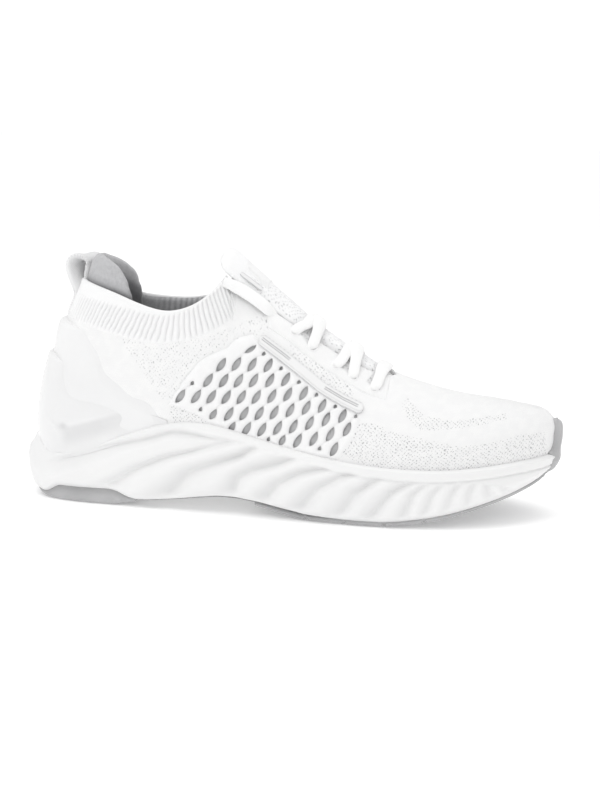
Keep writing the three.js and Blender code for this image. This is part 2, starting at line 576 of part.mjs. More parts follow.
add("tongue_label", layer(labelFace(1.3), labelFace(0.3)), FINISH.label);

// ---- laces and pull loop ---------------------------------------------------------------------
// A flat strip along a curve; frameAt gives its up and side directions.
const strip = ({ points, cells, width, thickness, frameAt }) => {
  const curve = new THREE.CatmullRomCurve3(points);
  const face = (height) => steps(0, 1, cells).map((part) => {
    const { up, side } = frameAt(part, curve.getTangent(part));
    return [-width / 2, width / 2].map((across) => curve.getPoint(part)
      .add(side.clone().multiplyScalar(across))
      .add(up.clone().multiplyScalar(height)));
  });
  return layer(face(thickness / 2), face(-thickness / 2));
};

// Laces lie on the upper: each stop is [station, y, out].
const ribbon = (stops, width, thickness) => {
  const places = stops.map(([station, y, out]) => {
    const ring = y < 0 ? station : -station;
    const rise = Math.abs(y) < 0.5 ? 1 : riseAtY(ring, Math.abs(y));
    return { point: offsetPoint(ring, rise, out), normal: lastNormal(ring, rise) };
  });
  const frameAt = (part, tangent) => {
    const along = part * (places.length - 1);
    const i = Math.min(places.length - 2, Math.floor(along));
    const up = places[i].normal.clone().lerp(places[i + 1].normal, along - i).normalize();
    return { up, side: tangent.clone().cross(up).normalize() };
  };
  const points = places.map(({ point }) => point);
  return strip({ points, cells: 10, width, thickness, frameAt });
};
// Rows cross the throat between the eyestays: [lateral station, medial station], toe end first.
const LACE_ROWS = [[13.55, 13.75], [12.75, 13.15], [12.3, 12.62], [11.75, 12.05], [11.2, 11.5]];
const LACE_Y = 17; // eyelet distance from the middle
LACE_ROWS.forEach(([lateral, medial], i) => {
  const stops = [-LACE_Y, -12, -6, 0, 6, 12, LACE_Y]
    .map((y) => [lateral + ((medial - lateral) * (y + LACE_Y)) / (2 * LACE_Y), y, 3]);
  add("lace_row_" + (i + 1), ribbon(stops, 5.2, 1.3));
});
const TAIL = [[10.75, LACE_Y, 2.6], [10.2, 22, 3], [9.6, 25, 3], [9, 25, 2.6]];
for (const [side, sign] of SIDES) {
  const stops = TAIL.map(([station, y, out]) => [station, -sign * y, out]);
  add("lace_tail_" + side, ribbon(stops, 4.6, 1.2));
}

// Webbing pull loop at the back of the collar, through [x, z] stops:
// the sewn-down foot, and the free bight that folds over.
const webbing = (stops, thickness) => strip({
  points: stops.map(([x, z]) => vec(x, 0, z)),
  cells: stops.length * 3,
  width: 14,
  thickness,
  frameAt: (part, tangent) => ({ up: vec(-tangent.z, 0, tangent.x), side: vec(0, 1, 0) }),
});
const LOOP_FOOT = [[19.6, 98.6], [20.4, 103], [21.4, 107], [22.2, 110.6]];
const LOOP = [
  [21.4, 112], [20.2, 118], [20.4, 124], [22.8, 129.8], [26.6, 132], [30.2, 130.8],
  [31.4, 128.6],
];
add("pull_loop_foot", webbing(LOOP_FOOT, 1.7));
add("pull_loop", webbing(LOOP, 1.8));

export default root;
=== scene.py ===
"""Knit running shoe for the right foot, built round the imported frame.

It points along +X, stands on z = 0 and has its outer (lateral) side at -Y, its inner
(medial) side at +Y. Blender works in metres. The shape functions work in millimetres,
with x measured from the rearmost point of the sole. A place on the upper is given by
  around: 0 at the heel, 21 at the toe, positive on the outer side, negative on the inner,
  up: 0 at the sole, 1 at the top edge.
"""
import math
from math import pi
import bmesh
import bpy
import numpy as np
from mathutils import Matrix, Vector
from mathutils.kdtree import KDTree


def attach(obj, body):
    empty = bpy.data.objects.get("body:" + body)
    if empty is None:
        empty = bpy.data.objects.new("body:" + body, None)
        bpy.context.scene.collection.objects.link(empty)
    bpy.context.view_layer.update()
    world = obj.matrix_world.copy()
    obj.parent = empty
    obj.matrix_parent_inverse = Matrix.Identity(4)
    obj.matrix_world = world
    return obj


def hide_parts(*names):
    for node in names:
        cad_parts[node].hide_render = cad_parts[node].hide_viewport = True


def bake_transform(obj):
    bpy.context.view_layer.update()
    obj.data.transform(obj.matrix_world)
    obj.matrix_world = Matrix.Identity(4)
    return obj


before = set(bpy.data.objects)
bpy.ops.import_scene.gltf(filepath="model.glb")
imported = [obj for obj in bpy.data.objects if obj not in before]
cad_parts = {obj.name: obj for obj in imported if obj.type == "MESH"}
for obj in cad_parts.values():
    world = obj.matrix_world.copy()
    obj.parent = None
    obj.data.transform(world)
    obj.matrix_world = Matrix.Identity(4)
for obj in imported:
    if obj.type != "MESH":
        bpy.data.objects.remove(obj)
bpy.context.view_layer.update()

HEEL_X = 45.0                       # the frame's origin lies this far ahead of the sole's rear
SIDES = ((1, "lateral"), (-1, "medial"))
STATIONS = 21                       # toe station; the heel is station 0
RING = 2 * STATIONS                 # stations round the whole shoe
STATION_LENGTH = 13.6               # nominal mm per station, for weaves
WALL_HEIGHT = 118                   # nominal mm from sole to top edge, for weaves

# ---- measured shape of the last ----------------------------------------------------------
# One line per station from heel to toe: x, y, z in five rows from the sole to the top edge.
OUTER_WALL = np.array([
    [12,0,24, 8.5,0,40, 11.5,0,64, 19.5,0,92, 30.6,0,120.6],
    [14.5,-13,24, 11.5,-14.5,40, 14.3,-14,64, 21.8,-11.5,92, 32.5,-9,120.5],
    [21,-22.5,24.5, 18.5,-25,40, 21,-25,64, 28,-20.5,92, 37.5,-16,119.5],
    [32,-28,25, 31,-30.5,41, 32.5,-31,64, 38.5,-27.5,91, 46,-23.5,117.8],
    [48,-30.5,25.5, 48,-33,42, 48.5,-34,64, 51,-31.5,89, 56,-28.3,115.2],
    [65,-31.3,25.5, 65,-34,43, 65.5,-34.8,64, 66.5,-33,87, 69,-30.5,110.5],
    [82,-31.8,25.5, 82,-34.5,44, 82,-35,63, 82.5,-33.8,84, 84,-31,107],
    [98,-32.2,25.2, 98,-35,45, 98,-35,63, 97.5,-33.5,85, 97.5,-29.8,110.3],
    [113,-33.3,25, 113,-36,44, 112,-35,64, 110.5,-31.5,90, 107.5,-25.5,117.5],
    [126,-34.8,24.6, 126,-37.3,43, 124.5,-35,66, 121,-28,94, 114.5,-15,126],
    [138,-36.8,24.2, 138,-39,42, 136,-35.5,66, 131,-25,98, 119,0,131.5],
    [152,-39.5,23.8, 152,-42,41, 150.5,-37,63, 147,-25,90, 143,0,114],
    [168,-43,23.4, 168,-45,39, 167,-39,58.5, 165,-26,80, 163,0,99],
    [185,-45.8,23, 185,-47.5,37.5, 184.5,-41,54.5, 183.5,-26,71.5, 182.5,0,86.3],
    [203,-47,23, 203,-48.3,36.5, 203,-41.5,51.5, 203,-26,65.5, 203,0,76],
    [221,-45.8,23.5, 221.5,-47,36.5, 221.5,-40,50, 221,-25,62.3, 221,1,69.6],
    [238,-41.8,25, 239,-43.2,37.5, 238.5,-37,49.5, 237,-23.5,60, 236,2,65.6],
    [254,-35.3,27, 255,-36.8,39, 254.5,-31.5,50, 252,-20,59, 249.5,3,63.2],
    [268,-27,29, 269.5,-28.2,40.5, 269,-24,51, 265.5,-15,58.6, 261,4,61.9],
    [280,-16,31, 281.5,-16.8,42, 280.8,-14.3,52, 276.5,-8.5,58.3, 270.5,4.5,60.6],
    [288.5,-5,32.3, 290,-5.3,43, 289,-4.5,52.3, 284.5,-2,57.9, 277.5,4.8,59.5],
    [291.3,6,33, 293,6,43.5, 292,6,52.5, 287.5,5.5,57.4, 281,5,58.8]], float).reshape(-1, 5, 3)
# The inner side has stations 1 to 20; both sides share the heel and toe stations.
INNER_WALL = np.array([
    [14.5,13,24, 11.5,14.5,40, 14.3,14,64, 21.8,11.5,92, 32.5,9,120.5],
    [21,22.5,24.5, 18.5,25,40, 21,25,64, 28,20.5,92, 37.5,16,119.5],
    [32,28,25, 31,30.3,41, 32.5,30.8,64, 38.5,27.3,91, 46,23.3,114.8],
    [48,29.5,25.5, 48,32.3,42, 48.5,33.5,64, 51,31,89, 56,27.8,110.2],
    [65,28.8,25.5, 65,32,43.5, 65.5,33.5,64, 66.5,32.3,87.5, 69,29.6,108.6],
    [82,27.4,25.5, 82,31.2,45, 82,33,63.5, 82.5,32.8,85, 84,30,108.3],
    [98,26.6,25.2, 98,30.8,46, 98,32,64, 97.5,31.8,85.5, 97.5,29,110.8],
    [113,27,25, 113,31,45.5, 112,31.5,65, 110.5,30,90.5, 107.5,25,117.5],
    [126,28.3,24.6, 126,31.8,44.5, 124.5,31.5,67, 121,27,94.5, 114.5,15,126],
    [138,30.5,24.2, 138,33.5,43.5, 136,32,67, 131,24,98.5, 119,0,131.5],
    [152,34,23.8, 152,36.5,42, 150.5,33.5,64.5, 147,24,90.5, 143,0,114],
    [168,38.5,23.4, 168,40.5,40, 167,36.5,60, 165,25.5,80.5, 163,0,99],
    [185,43,23, 185,44.8,38.5, 184.5,39.5,56, 183.5,26.5,72, 182.5,0,86.3],
    [203,46.8,23, 203,48.3,37, 203,42,53, 203,27.5,66.5, 203,0,76],
    [221,48.3,23.5, 221.5,49.6,37, 221.5,43,51.5, 221,28.5,63.3, 221,1,69.6],
    [238,47,25, 239,48.4,37.5, 238.5,42.5,50.5, 237,29,60.7, 236,2,65.6],
    [254,43,27, 255,44.5,39, 254.5,39,50.5, 252,27,59.6, 249.5,3,63.2],
    [268,36.5,29, 269.5,37.7,40.5, 269,33.5,51, 265.5,24,58.9, 261,4,61.9],
    [280,27,31, 281.5,27.8,42, 280.8,25,52, 276.5,18,58.4, 270.5,4.5,60.6],
    [288.5,16,32.3, 290,16.3,43, 289,15.3,52.3, 284.5,12.5,57.9, 277.5,4.8,59.5],
    ], float).reshape(-1, 5, 3)

# Outline of the sole seen from above (x, y): outer stations 0 to 21, inner stations 1 to 20.
OUTER_SOLE = [
    [0,0], [2.5,-14.5], [10.5,-26.5], [26,-34.5], [46,-38], [65,-38.7], [82,-38.5], [98,-39],
    [113,-40], [126,-41.3], [139,-43.3], [153,-46], [169,-49.3], [186,-51.8], [204,-52.6],
    [222,-50.8], [240,-46.3], [257,-39.3], [271.5,-30], [283,-18.3], [290.8,-5.5], [293.8,7]]
INNER_SOLE = [
    [2.5,14.5], [10.5,26.5], [26,34.3], [46,37.5], [65,36.5], [82,34.8], [98,34], [113,34.2],
    [126,35.3], [139,37.5], [153,41], [169,45.5], [186,49.8], [204,53], [222,54], [240,52.2],
    [257,47.8], [271.5,40.3], [283,30.5], [290.8,19.5]]
# Heights by station: the foam's upper rim, and the bed inside it.
RIM_HEIGHTS = [36.5, 34.5, 25.5, 27, 32.5, 39, 44.6, 47, 46.2, 43.5, 40.7, 37.8, 35, 32.4, 30.8,
               30, 30, 31, 32.4, 33.2, 33.7, 33.8]
BED_HEIGHTS = [22.5, 22.5, 22.5, 22.5, 22.8, 23, 23, 23, 23, 23, 23, 23, 22.8, 22.5, 22.4, 22.8,
               24, 26, 28, 30, 31, 31.5]
# Lengthwise profiles (x, z) of the rubber's and the foam's underside.
RUBBER_PROFILE = [
    [-5,18], [0,12], [2,8.5], [5,5], [9,2.4], [14,0.7], [19,0], [58,0], [62,1], [68,2.2],
    [75,2.6], [95,4.4], [115,6.8], [125,6.8], [140,4.2], [155,1.4], [163,0], [205,0], [215,0.9],
    [230,3], [240,5], [251,7.8], [261,10.8], [271,14], [281,17.8], [288.5,21], [293,24],
    [298,28]]
FOAM_PROFILE = [
    [-5,21], [0,13.5], [2,10.4], [5,6.8], [9,4.2], [13,3.2], [17,3.6], [21.6,6.5], [24,8],
    [54,8.6], [58,7.8], [64,5], [69,3.6], [75,3.6], [83,4.3], [95,5.6], [105,7], [115,8.2],
    [125,8.2], [137,6.9], [150,5], [163,3], [175,2.4], [205,2.4], [215,3.3], [230,5.4],
    [240,7.4], [251,10.3], [261,13.3], [271,16.6], [281,20.4], [288.5,23.7], [293,26.7],
    [298,31]]


# ---- curves and blends -------------------------------------------------------------------
def cubic_weights(fraction):
    """Catmull-Rom weights of the four rows round a cell."""
    square = fraction * fraction
    cube = square * fraction
    return [0.5 * (-fraction + 2 * square - cube), 0.5 * (2 - 5 * square + 3 * cube),
            0.5 * (fraction + 4 * square - 3 * cube), 0.5 * (-square + cube)]


def cubic_rows(values, cell, fraction, wrap=False):
    """Catmull-Rom value between rows of `values`; the ends wrap round or are held."""
    values = np.asarray(values, float)
    total = 0
    for step, weight in enumerate(cubic_weights(fraction), -1):
        index = cell + step
        index = index % len(values) if wrap else np.clip(index, 0, len(values) - 1)
        total = total + weight.reshape(weight.shape + (1,) * (values.ndim - 1)) * values[index]
    return total


def cubic_columns(values, cell, fraction):
    """The same across columns that have one spare column at each end."""
    return cubic_rows(values.swapaxes(0, 1), cell + 1, fraction).swapaxes(0, 1)


def cubic_grid(grid, row, row_fraction, column, column_fraction):
    """Bicubic value of a grid whose rows wrap and whose columns are held at the ends."""
    row_weights = cubic_weights(row_fraction)
    column_weights = cubic_weights(column_fraction)
    rows, columns = grid.shape[:2]
    total = 0
    for i in range(4):
        for j in range(4):
            here = grid[(row + i - 1) % rows, np.clip(column + j - 1, 0, columns - 1)]
            total = total + (row_weights[i] * column_weights[j])[..., None] * here
    return total


def blur(values, sigma, axis=0, wrap=False):
    reach = int(3 * sigma) + 1
    steps = range(-reach, reach + 1)
    kernel = np.exp(-0.5 * (np.arange(-reach, reach + 1) / sigma) ** 2)
    kernel /= kernel.sum()
    values = np.moveaxis(values, axis, 0)
    count = len(values)
    index = np.arange(count)
    total = 0
    for weight, step in zip(kernel, steps):
        at = (index + step) % count if wrap else np.clip(index + step, 0, count - 1)
        total = total + weight * values[at]
    return np.moveaxis(total, 0, axis)


def ease(start, end, x):
    """0 at start to 1 at end with level ends; start may be the larger."""
    t = np.clip((np.asarray(x, float) - start) / (end - start), 0, 1)
    return t * t * (3 - 2 * t)


def bell(distance, width):
    return np.exp(-(distance / width) ** 2)


def round_edge(t):
    """Quarter-circle rise from 0 at t = 0 to 1 at t = 1."""
    return np.sqrt(np.clip(1 - (1 - np.clip(t, 0, 1)) ** 2, 0, 1))


def pillow(t, power):
    """1 in the middle, falling to 0 at t = -1 and 1."""
    return np.sqrt(np.clip(1 - np.abs(t) ** power, 0, 1))


def between(low, high, fractions):
    """Grid with one row per low/high pair and one column per fraction."""
    return low[:, None] + (high - low)[:, None] * fractions[None, :]


def lookup(table, x):
    table = np.asarray(table, float)
    return np.interp(x, table[:, 0], table[:, 1])


def bisect(is_below, low, high, shape):
    low = np.full(shape, float(low))
    high = np.full(shape, float(high))
    for _ in range(26):
        middle = (low + high) / 2
        below = is_below(middle)
        low = np.where(below, middle, low)
        high = np.where(below, high, middle)
    return (low + high) / 2


def lengths_along(points):
    """Distance of each point along a line of points."""
    steps = np.linalg.norm(np.diff(points, axis=0), axis=1)
    return np.concatenate([[0], np.cumsum(steps)])


def unit(vectors):
    """Vectors of length 1, safe against zero length."""
    return vectors / np.maximum(np.linalg.norm(vectors, axis=-1, keepdims=True), 1e-9)


def station(around):
    """Station 0 to 21 of a place, whichever side it is on."""
    wrapped = np.asarray(around, float) % RING
    return np.minimum(wrapped, RING - wrapped)


def both_sides(stations):
    """Places from the last station on the inner side round the heel to the outer side."""
    return np.concatenate([-stations[::-1], stations[1:]])


# ---- surface of the last -----------------------------------------------------------------
FINE_AROUND = 16                    # fine rows per station
FINE_UP = 96                        # fine columns from sole to top edge
SPARE = 28                          # extra columns below and above
SPARE_UP = (SPARE - 3) / FINE_UP    # how far past 0 and 1 the surface can be sampled
FINE_RING = RING * FINE_AROUND


def control_net():
    """The measured rows round the ring, with one row added below and one above."""
    inner = np.concatenate([OUTER_WALL[:1], INNER_WALL, OUTER_WALL[-1:]])
    own = np.concatenate([OUTER_WALL, inner[20:0:-1]])
    opposite = np.concatenate([inner, OUTER_WALL[20:0:-1]])
    net = np.zeros((RING, 7, 3))
    net[:, 1:6] = own
    net[:, 0] = 2 * own[:, 0] - own[:, 1]
    at = station(np.arange(RING))
    closed = ((at >= 10) & (at < 21))[:, None]      # here the two sides meet over the foot
    net[:, 6] = np.where(closed, opposite[:, 3], 2 * own[:, 4] - own[:, 3])
    return net


def fine_surface():
    around = np.arange(FINE_RING) / FINE_AROUND
    cell = np.floor(around).astype(int)
    rows = cubic_rows(control_net(), cell, around - cell, wrap=True)
    up = np.arange(FINE_UP + 1) / FINE_UP
    cell = np.minimum(3, np.floor(up * 4).astype(int))
    grid = cubic_columns(rows, cell, up * 4 - cell)
    mirror = grid[(-np.arange(FINE_RING)) % FINE_RING]
    closed = ease(9.2, 10.0, station(around))[:, None, None]
    step = np.arange(1, SPARE + 1)
    straight = 2 * grid[:, -1:] - grid[:, FINE_UP - step]
    above = straight * (1 - closed) + mirror[:, FINE_UP - step] * closed
    below = 2 * grid[:, :1] - grid[:, step][:, ::-1]
    grid = np.concatenate([below, grid, above], 1)
    return blur(blur(grid, 4.5, wrap=True), 3.5, axis=1)


SURFACE = fine_surface()


def sample(around, up):
    around, up = np.broadcast_arrays(np.asarray(around, float), np.asarray(up, float))
    row = (around % RING) * FINE_AROUND
    column = np.clip(up, -SPARE_UP, 1 + SPARE_UP) * FINE_UP + SPARE
    i = np.floor(row).astype(int)
    j = np.floor(column).astype(int)
    return cubic_grid(SURFACE, i, row - i, column, column - j) if False else cubic_grid(
        SURFACE, i, row - i, j, column - j)


def point(around, up):
    """Point on the last; above the top edge it goes straight on."""
    around, up = np.broadcast_arrays(np.asarray(around, float), np.asarray(up, float))
    base = sample(around, np.minimum(up, 1.0))
    if (up > 1).any():
        step = 0.03
        rise = sample(around, 1.0) - sample(around, 1 - step)
        base = base + rise * (np.maximum(up - 1, 0) / step)[..., None]
    return base


def normal(around, up):
    """Outward unit normal."""
    up = np.minimum(up, 1.0)
    along = sample(around + 0.04, up) - sample(around - 0.04, up)
    upward = sample(around, up + 0.012) - sample(around, up - 0.012)
    return unit(np.cross(along, upward))


def offset(around, up, distance):
    """Point this far outside the last."""
    around, up, distance = np.broadcast_arrays(
        np.asarray(around, float), np.asarray(up, float), np.asarray(distance, float))
    return point(around, up) + normal(around, up) * distance[..., None]


def up_at_height(around, z):
    around, z = np.broadcast_arrays(np.asarray(around, float), np.asarray(z, float))
    return bisect(lambda up: point(around, up)[..., 2] < z, 0, 1, around.shape)


def up_at_width(around, y):
    """Place in the upper half of the wall at distance y from the middle plane."""
    around, y = np.broadcast_arrays(np.asarray(around, float), np.asarray(y, float))
    return bisect(lambda up: np.abs(point(around, up)[..., 1]) > y, 0.5, 1, around.shape)


def wall_at(around, z, distance):
    wall = offset(around, np.maximum(0, up_at_height(around, z)), distance)
    wall[..., 2] = z
    return wall


# ---- sole outline and heights ------------------------------------------------------------
def fine_ring(values):
    """Values of the 42 ring stations at every fine row."""
    around = np.arange(FINE_RING) / FINE_AROUND
    cell = np.floor(around).astype(int)
    return cubic_rows(values, cell, around - cell, wrap=True)


def fine_heights(heights):
    at = station(np.arange(FINE_RING) / FINE_AROUND)
    cell = np.clip(np.floor(at).astype(int), 0, len(heights) - 2)
    return blur(cubic_rows(heights, cell, at - cell), 4.0, wrap=True)


SOLE_RING = blur(fine_ring(OUTER_SOLE + INNER_SOLE[::-1]), 5.0, wrap=True)
FINE_RIM = fine_heights(RIM_HEIGHTS)
FINE_BED = fine_heights(BED_HEIGHTS)


def sole_point(around):
    row = (np.asarray(around, float) % RING) * FINE_AROUND
    cell = np.floor(row).astype(int)
    return cubic_rows(SOLE_RING, cell, row - cell, wrap=True)


def sole_outline(around, distance):
    """Outline moved outwards by distance, at z = 0."""
    tangent = sole_point(around + 0.05) - sole_point(around - 0.05)
    tangent = tangent / np.linalg.norm(tangent, axis=-1, keepdims=True)
    outward = np.stack([tangent[..., 1], -tangent[..., 0]], -1)
    flat = sole_point(around) + outward * distance
    return np.concatenate([flat, np.zeros(flat.shape[:-1] + (1,))], -1)


def ring_height(fine, around):
    row = (np.asarray(around, float) % RING) * FINE_AROUND
    i = np.floor(row).astype(int)
    fraction = row - i
    return fine[i % FINE_RING] * (1 - fraction) + fine[(i + 1) % FINE_RING] * fraction


def rim_height(around):
    return ring_height(FINE_RIM, around)


def bed_height(around):
    return ring_height(FINE_BED, around)


PROFILE_X = np.arange(-10, 305, 0.5)
FOAM_FINE = blur(lookup(FOAM_PROFILE, PROFILE_X), 2.0)
RUBBER_FINE = blur(lookup(RUBBER_PROFILE, PROFILE_X), 1.6)


def foam_bottom(x):
    return np.interp(x, PROFILE_X, FOAM_FINE)


def rubber_bottom(x):
    return np.maximum(0, np.interp(x, PROFILE_X, RUBBER_FINE))


# ---- eye point and drawing plane ---------------------------------------------------------
# Details of the outer side are drawn in mm on a plane square to the line of sight, in front
# of the shoe: x runs forwards along it and y runs down it. They are cast on to the last from
# the eye, which is also the camera. The inner side takes the mirrored stations.
YAW, PITCH, ROLL = math.radians(9), math.radians(10), math.radians(1.32563)
EYE_DISTANCE = 1000.0
EYE_TARGET = np.array([152.9904, 0.0, 57.03683])
PLANE_DISTANCE = 908.93675          # from the eye
PLANE_CENTRE = (150, 200)           # where the line of sight crosses the plane

SIGHT = np.array([-math.sin(YAW) * math.cos(PITCH), math.cos(YAW) * math.cos(PITCH),
                  -math.sin(PITCH)])
EYE = EYE_TARGET - SIGHT * EYE_DISTANCE


def view_axes():
    level = np.array([math.cos(YAW), math.sin(YAW), 0.0])
    above = np.cross(level, SIGHT)
    return (level * math.cos(ROLL) + above * math.sin(ROLL),
            -level * math.sin(ROLL) + above * math.cos(ROLL))


VIEW_RIGHT, VIEW_UP = view_axes()


def drawn(points):
    """Places on the drawing plane where the eye sees these points."""
    ray = points - EYE
    depth = ray @ SIGHT
    return np.stack([PLANE_CENTRE[0] + PLANE_DISTANCE * (ray @ VIEW_RIGHT) / depth,
                     PLANE_CENTRE[1] - PLANE_DISTANCE * (ray @ VIEW_UP) / depth], -1)


def drawn_side(around, up, lift=0.8):
    """Drawing place of a point, or of its mirrored station on the outer side."""
    places = drawn(offset(station(around), up, lift))
    return places[..., 0], places[..., 1]


GUIDE_STATIONS = np.linspace(0, STATIONS, 85)
GUIDE_X = np.maximum.accumulate(drawn(point(GUIDE_STATIONS, 0.4))[:, 0])


def traced(x, y, lift):
    """(around, up) of the outer side seen at a drawing place, by Newton steps."""
    step_around, step_up, damping = 0.02, 0.005, 0.9
    around = np.interp(x, GUIDE_X, GUIDE_STATIONS)
    up = np.full(x.shape, 0.4)
    for _ in range(14):
        here = drawn(offset(around, up, lift))
        along = (drawn(offset(around + step_around, up, lift)) - here) / step_around
        upward = (drawn(offset(around, up + step_up, lift)) - here) / step_up
        miss_x = x - here[..., 0]
        miss_y = y - here[..., 1]
        det = along[..., 0] * upward[..., 1] - upward[..., 0] * along[..., 1]
        det = np.where(np.abs(det) < 1e-6, 1e-6, det)
        move_around = (upward[..., 1] * miss_x - upward[..., 0] * miss_y) / det
        move_up = (-along[..., 1] * miss_x + along[..., 0] * miss_y) / det
        around = np.clip(around + np.clip(move_around, -1, 1) * damping, 0.2, 20.8)
        up = np.clip(up + np.clip(move_up, -0.2, 0.2) * damping, 0.0, 1.0)
    return around, up


def traced_grid(x, y, lift):
    """traced() over a dense grid, interpolated from a coarse one."""
    step, pad = 1.5, 3
    x_start = x.min() - pad * step
    y_start = y.min() - pad * step
    columns = int((x.max() - x_start) / step) + pad + 2
    rows = int((y.max() - y_start) / step) + pad + 2
    coarse = np.meshgrid(x_start + step * np.arange(columns), y_start + step * np.arange(rows),
                         indexing="ij")
    places = np.stack(traced(*coarse, lift), -1)
    a = (x - x_start) / step
    b = (y - y_start) / step
    i = np.clip(np.floor(a).astype(int), 1, columns - 3)
    j = np.clip(np.floor(b).astype(int), 1, rows - 3)
    result = cubic_grid(places, i, a - i, j, b - j)
    return result[..., 0], result[..., 1]


# ---- meshes ------------------------------------------------------------------------------
def add_mesh(name, points, quads, attrs=None, merge=0.0):
    """Closed object facing outwards, from points in mm; merge is a distance in mm."""
    points = np.asarray(points, float).reshape(-1, 3).copy()
    points[:, 0] -= HEEL_X
    points *= 0.001
    quads = np.asarray(quads)
    mesh = bpy.data.meshes.new(name)
    mesh.vertices.add(len(points))
    mesh.vertices.foreach_set("co", points.astype(np.float32).ravel())
    mesh.loops.add(quads.size)
    mesh.loops.foreach_set("vertex_index", quads.astype(np.int32).ravel())
    mesh.polygons.add(len(quads))
    mesh.polygons.foreach_set("loop_start", np.arange(0, quads.size, 4, dtype=np.int32))
    mesh.update(calc_edges=True)
    for key, values in (attrs or {}).items():
        values = np.asarray(values, np.float32)
        kind, field = ("FLOAT", "value") if values.ndim == 1 else ("FLOAT_VECTOR", "vector")
        mesh.attributes.new(key, kind, "POINT").data.foreach_set(field, values.ravel())
    piece = bpy.data.objects.new(name, mesh)
    bpy.context.scene.collection.objects.link(piece)
    tidy(mesh, merge)
    return piece


def tidy(mesh, merge):
    work = bmesh.new()
    work.from_mesh(mesh)
    if merge:
        bmesh.ops.remove_doubles(work, verts=work.verts, dist=merge * 0.001)
    bmesh.ops.dissolve_degenerate(work, dist=1e-7, edges=work.edges)
    loose = [vertex for vertex in work.verts if not vertex.link_faces]
    if loose:
        bmesh.ops.delete(work, geom=loose, context="VERTS")
    bmesh.ops.recalc_face_normals(work, faces=work.faces)
    if work.calc_volume(signed=True) < 0:
        bmesh.ops.reverse_faces(work, faces=work.faces)
    work.to_mesh(mesh)
    work.free()
    mesh.shade_smooth()


def grid_quads(n, m, keep=None, base=0, flip=False):
    i, j = np.meshgrid(np.arange(n - 1), np.arange(m - 1), indexing="ij")
    if keep is not None:
        i, j = i[keep], j[keep]
    i, j = i.ravel(), j.ravel()
    corners = [i * m + j, (i + 1) * m + j, (i + 1) * m + j + 1, i * m + j + 1]
    quads = np.stack(corners, 1) + base
    return quads[:, ::-1] if flip else quads


def border_quads(n, m, keep, base):
    """Side walls between two copies of a grid, along every edge with one kept quad."""
    padded = np.zeros((n + 1, m + 1), bool)
    padded[1:n, 1:m] = keep
    rows, columns = np.meshgrid(np.arange(n - 1), np.arange(m - 1), indexing="ij")
    walls = []
    # step to the neighbour, then the first and second corner of the shared edge
    for (di, dj), first, second in (((-1, 0), (0, 1), (0, 0)), ((1, 0), (1, 0), (1, 1)),
                                    ((0, -1), (0, 0), (1, 0)), ((0, 1), (1, 1), (0, 1))):
        edge = keep & ~padded[1 + di:n + di, 1 + dj:m + dj]
        i, j = rows[edge], columns[edge]
        a = (i + first[0]) * m + j + first[1]
        b = (i + second[0]) * m + j + second[1]
        walls.append(np.stack([a, b, b + base, a + base], 1))
    return np.concatenate(walls)


def shell(name, outer, inner, keep=None, attrs=None, inner_attrs=None, merge=0.0):
    """Closed piece between two grids of points; keep says which quads exist."""
    n, m = outer.shape[:2]
    if keep is None:
        keep = np.ones((n - 1, m - 1), bool)
    quads = np.concatenate([grid_quads(n, m, keep), grid_quads(n, m, keep, n * m, True),
                            border_quads(n, m, keep, n * m)])
    points = np.concatenate([outer.reshape(-1, 3), inner.reshape(-1, 3)])
    spread = {}
    for key, values in (attrs or {}).items():
        front = values.reshape((n * m, -1) if values.ndim == 3 else n * m)
        back = (inner_attrs or {}).get(key, values).reshape(front.shape)
        spread[key] = np.concatenate([front, back])
    return add_mesh(name, points, quads, spread, merge)


def skin(name, around, up, outside, inside, **options):
    """Shell that follows the last between two distances from it."""
    return shell(name, offset(around, up, outside), offset(around, up, inside), **options)


def weave(across, along):
    """Cloth coordinates for the woven and knitted materials."""
    across, along = np.broadcast_arrays(across, along)
    return np.stack([across, along, 0 * along], -1)


def join_parts(parts):
    start = 0
    quads = []
    for points, faces in parts:
        quads.append(np.asarray(faces) + start)
        start += len(points)
    return np.concatenate([points for points, _ in parts]), np.concatenate(quads)


def loft(levels, cap_columns):
    """Points and quads of a ring lofted through levels [place, level, 3], capped."""
    parts = [(levels.reshape(-1, 3), grid_quads(*levels.shape[:2]))]
    fractions = np.linspace(0, 1, cap_columns)[None, :, None]
    for ring in (levels[:, 0], levels[:, -1]):
        half = len(ring) // 2 + 1
        cap = (ring[:half, None] * (1 - fractions) + ring[::-1][:half, None] * fractions)
        parts.append((cap.reshape(-1, 3), grid_quads(*cap.shape[:2])))
    return join_parts(parts)


def paint(piece, material):
    piece.data.materials.clear()
    piece.data.materials.append(material)


def flex(piece):
    """Bake the piece's placement into its points; nothing bends it here."""
    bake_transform(piece)


def finish(piece, material, slot, carrier, *nodes):
    """Paint a piece and tell the frame what it replaces and which body carries it."""
    paint(piece, material)
    if nodes:
        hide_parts(*nodes)
    if carrier == "flex":
        flex(piece)
    elif carrier:
        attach(piece, carrier)


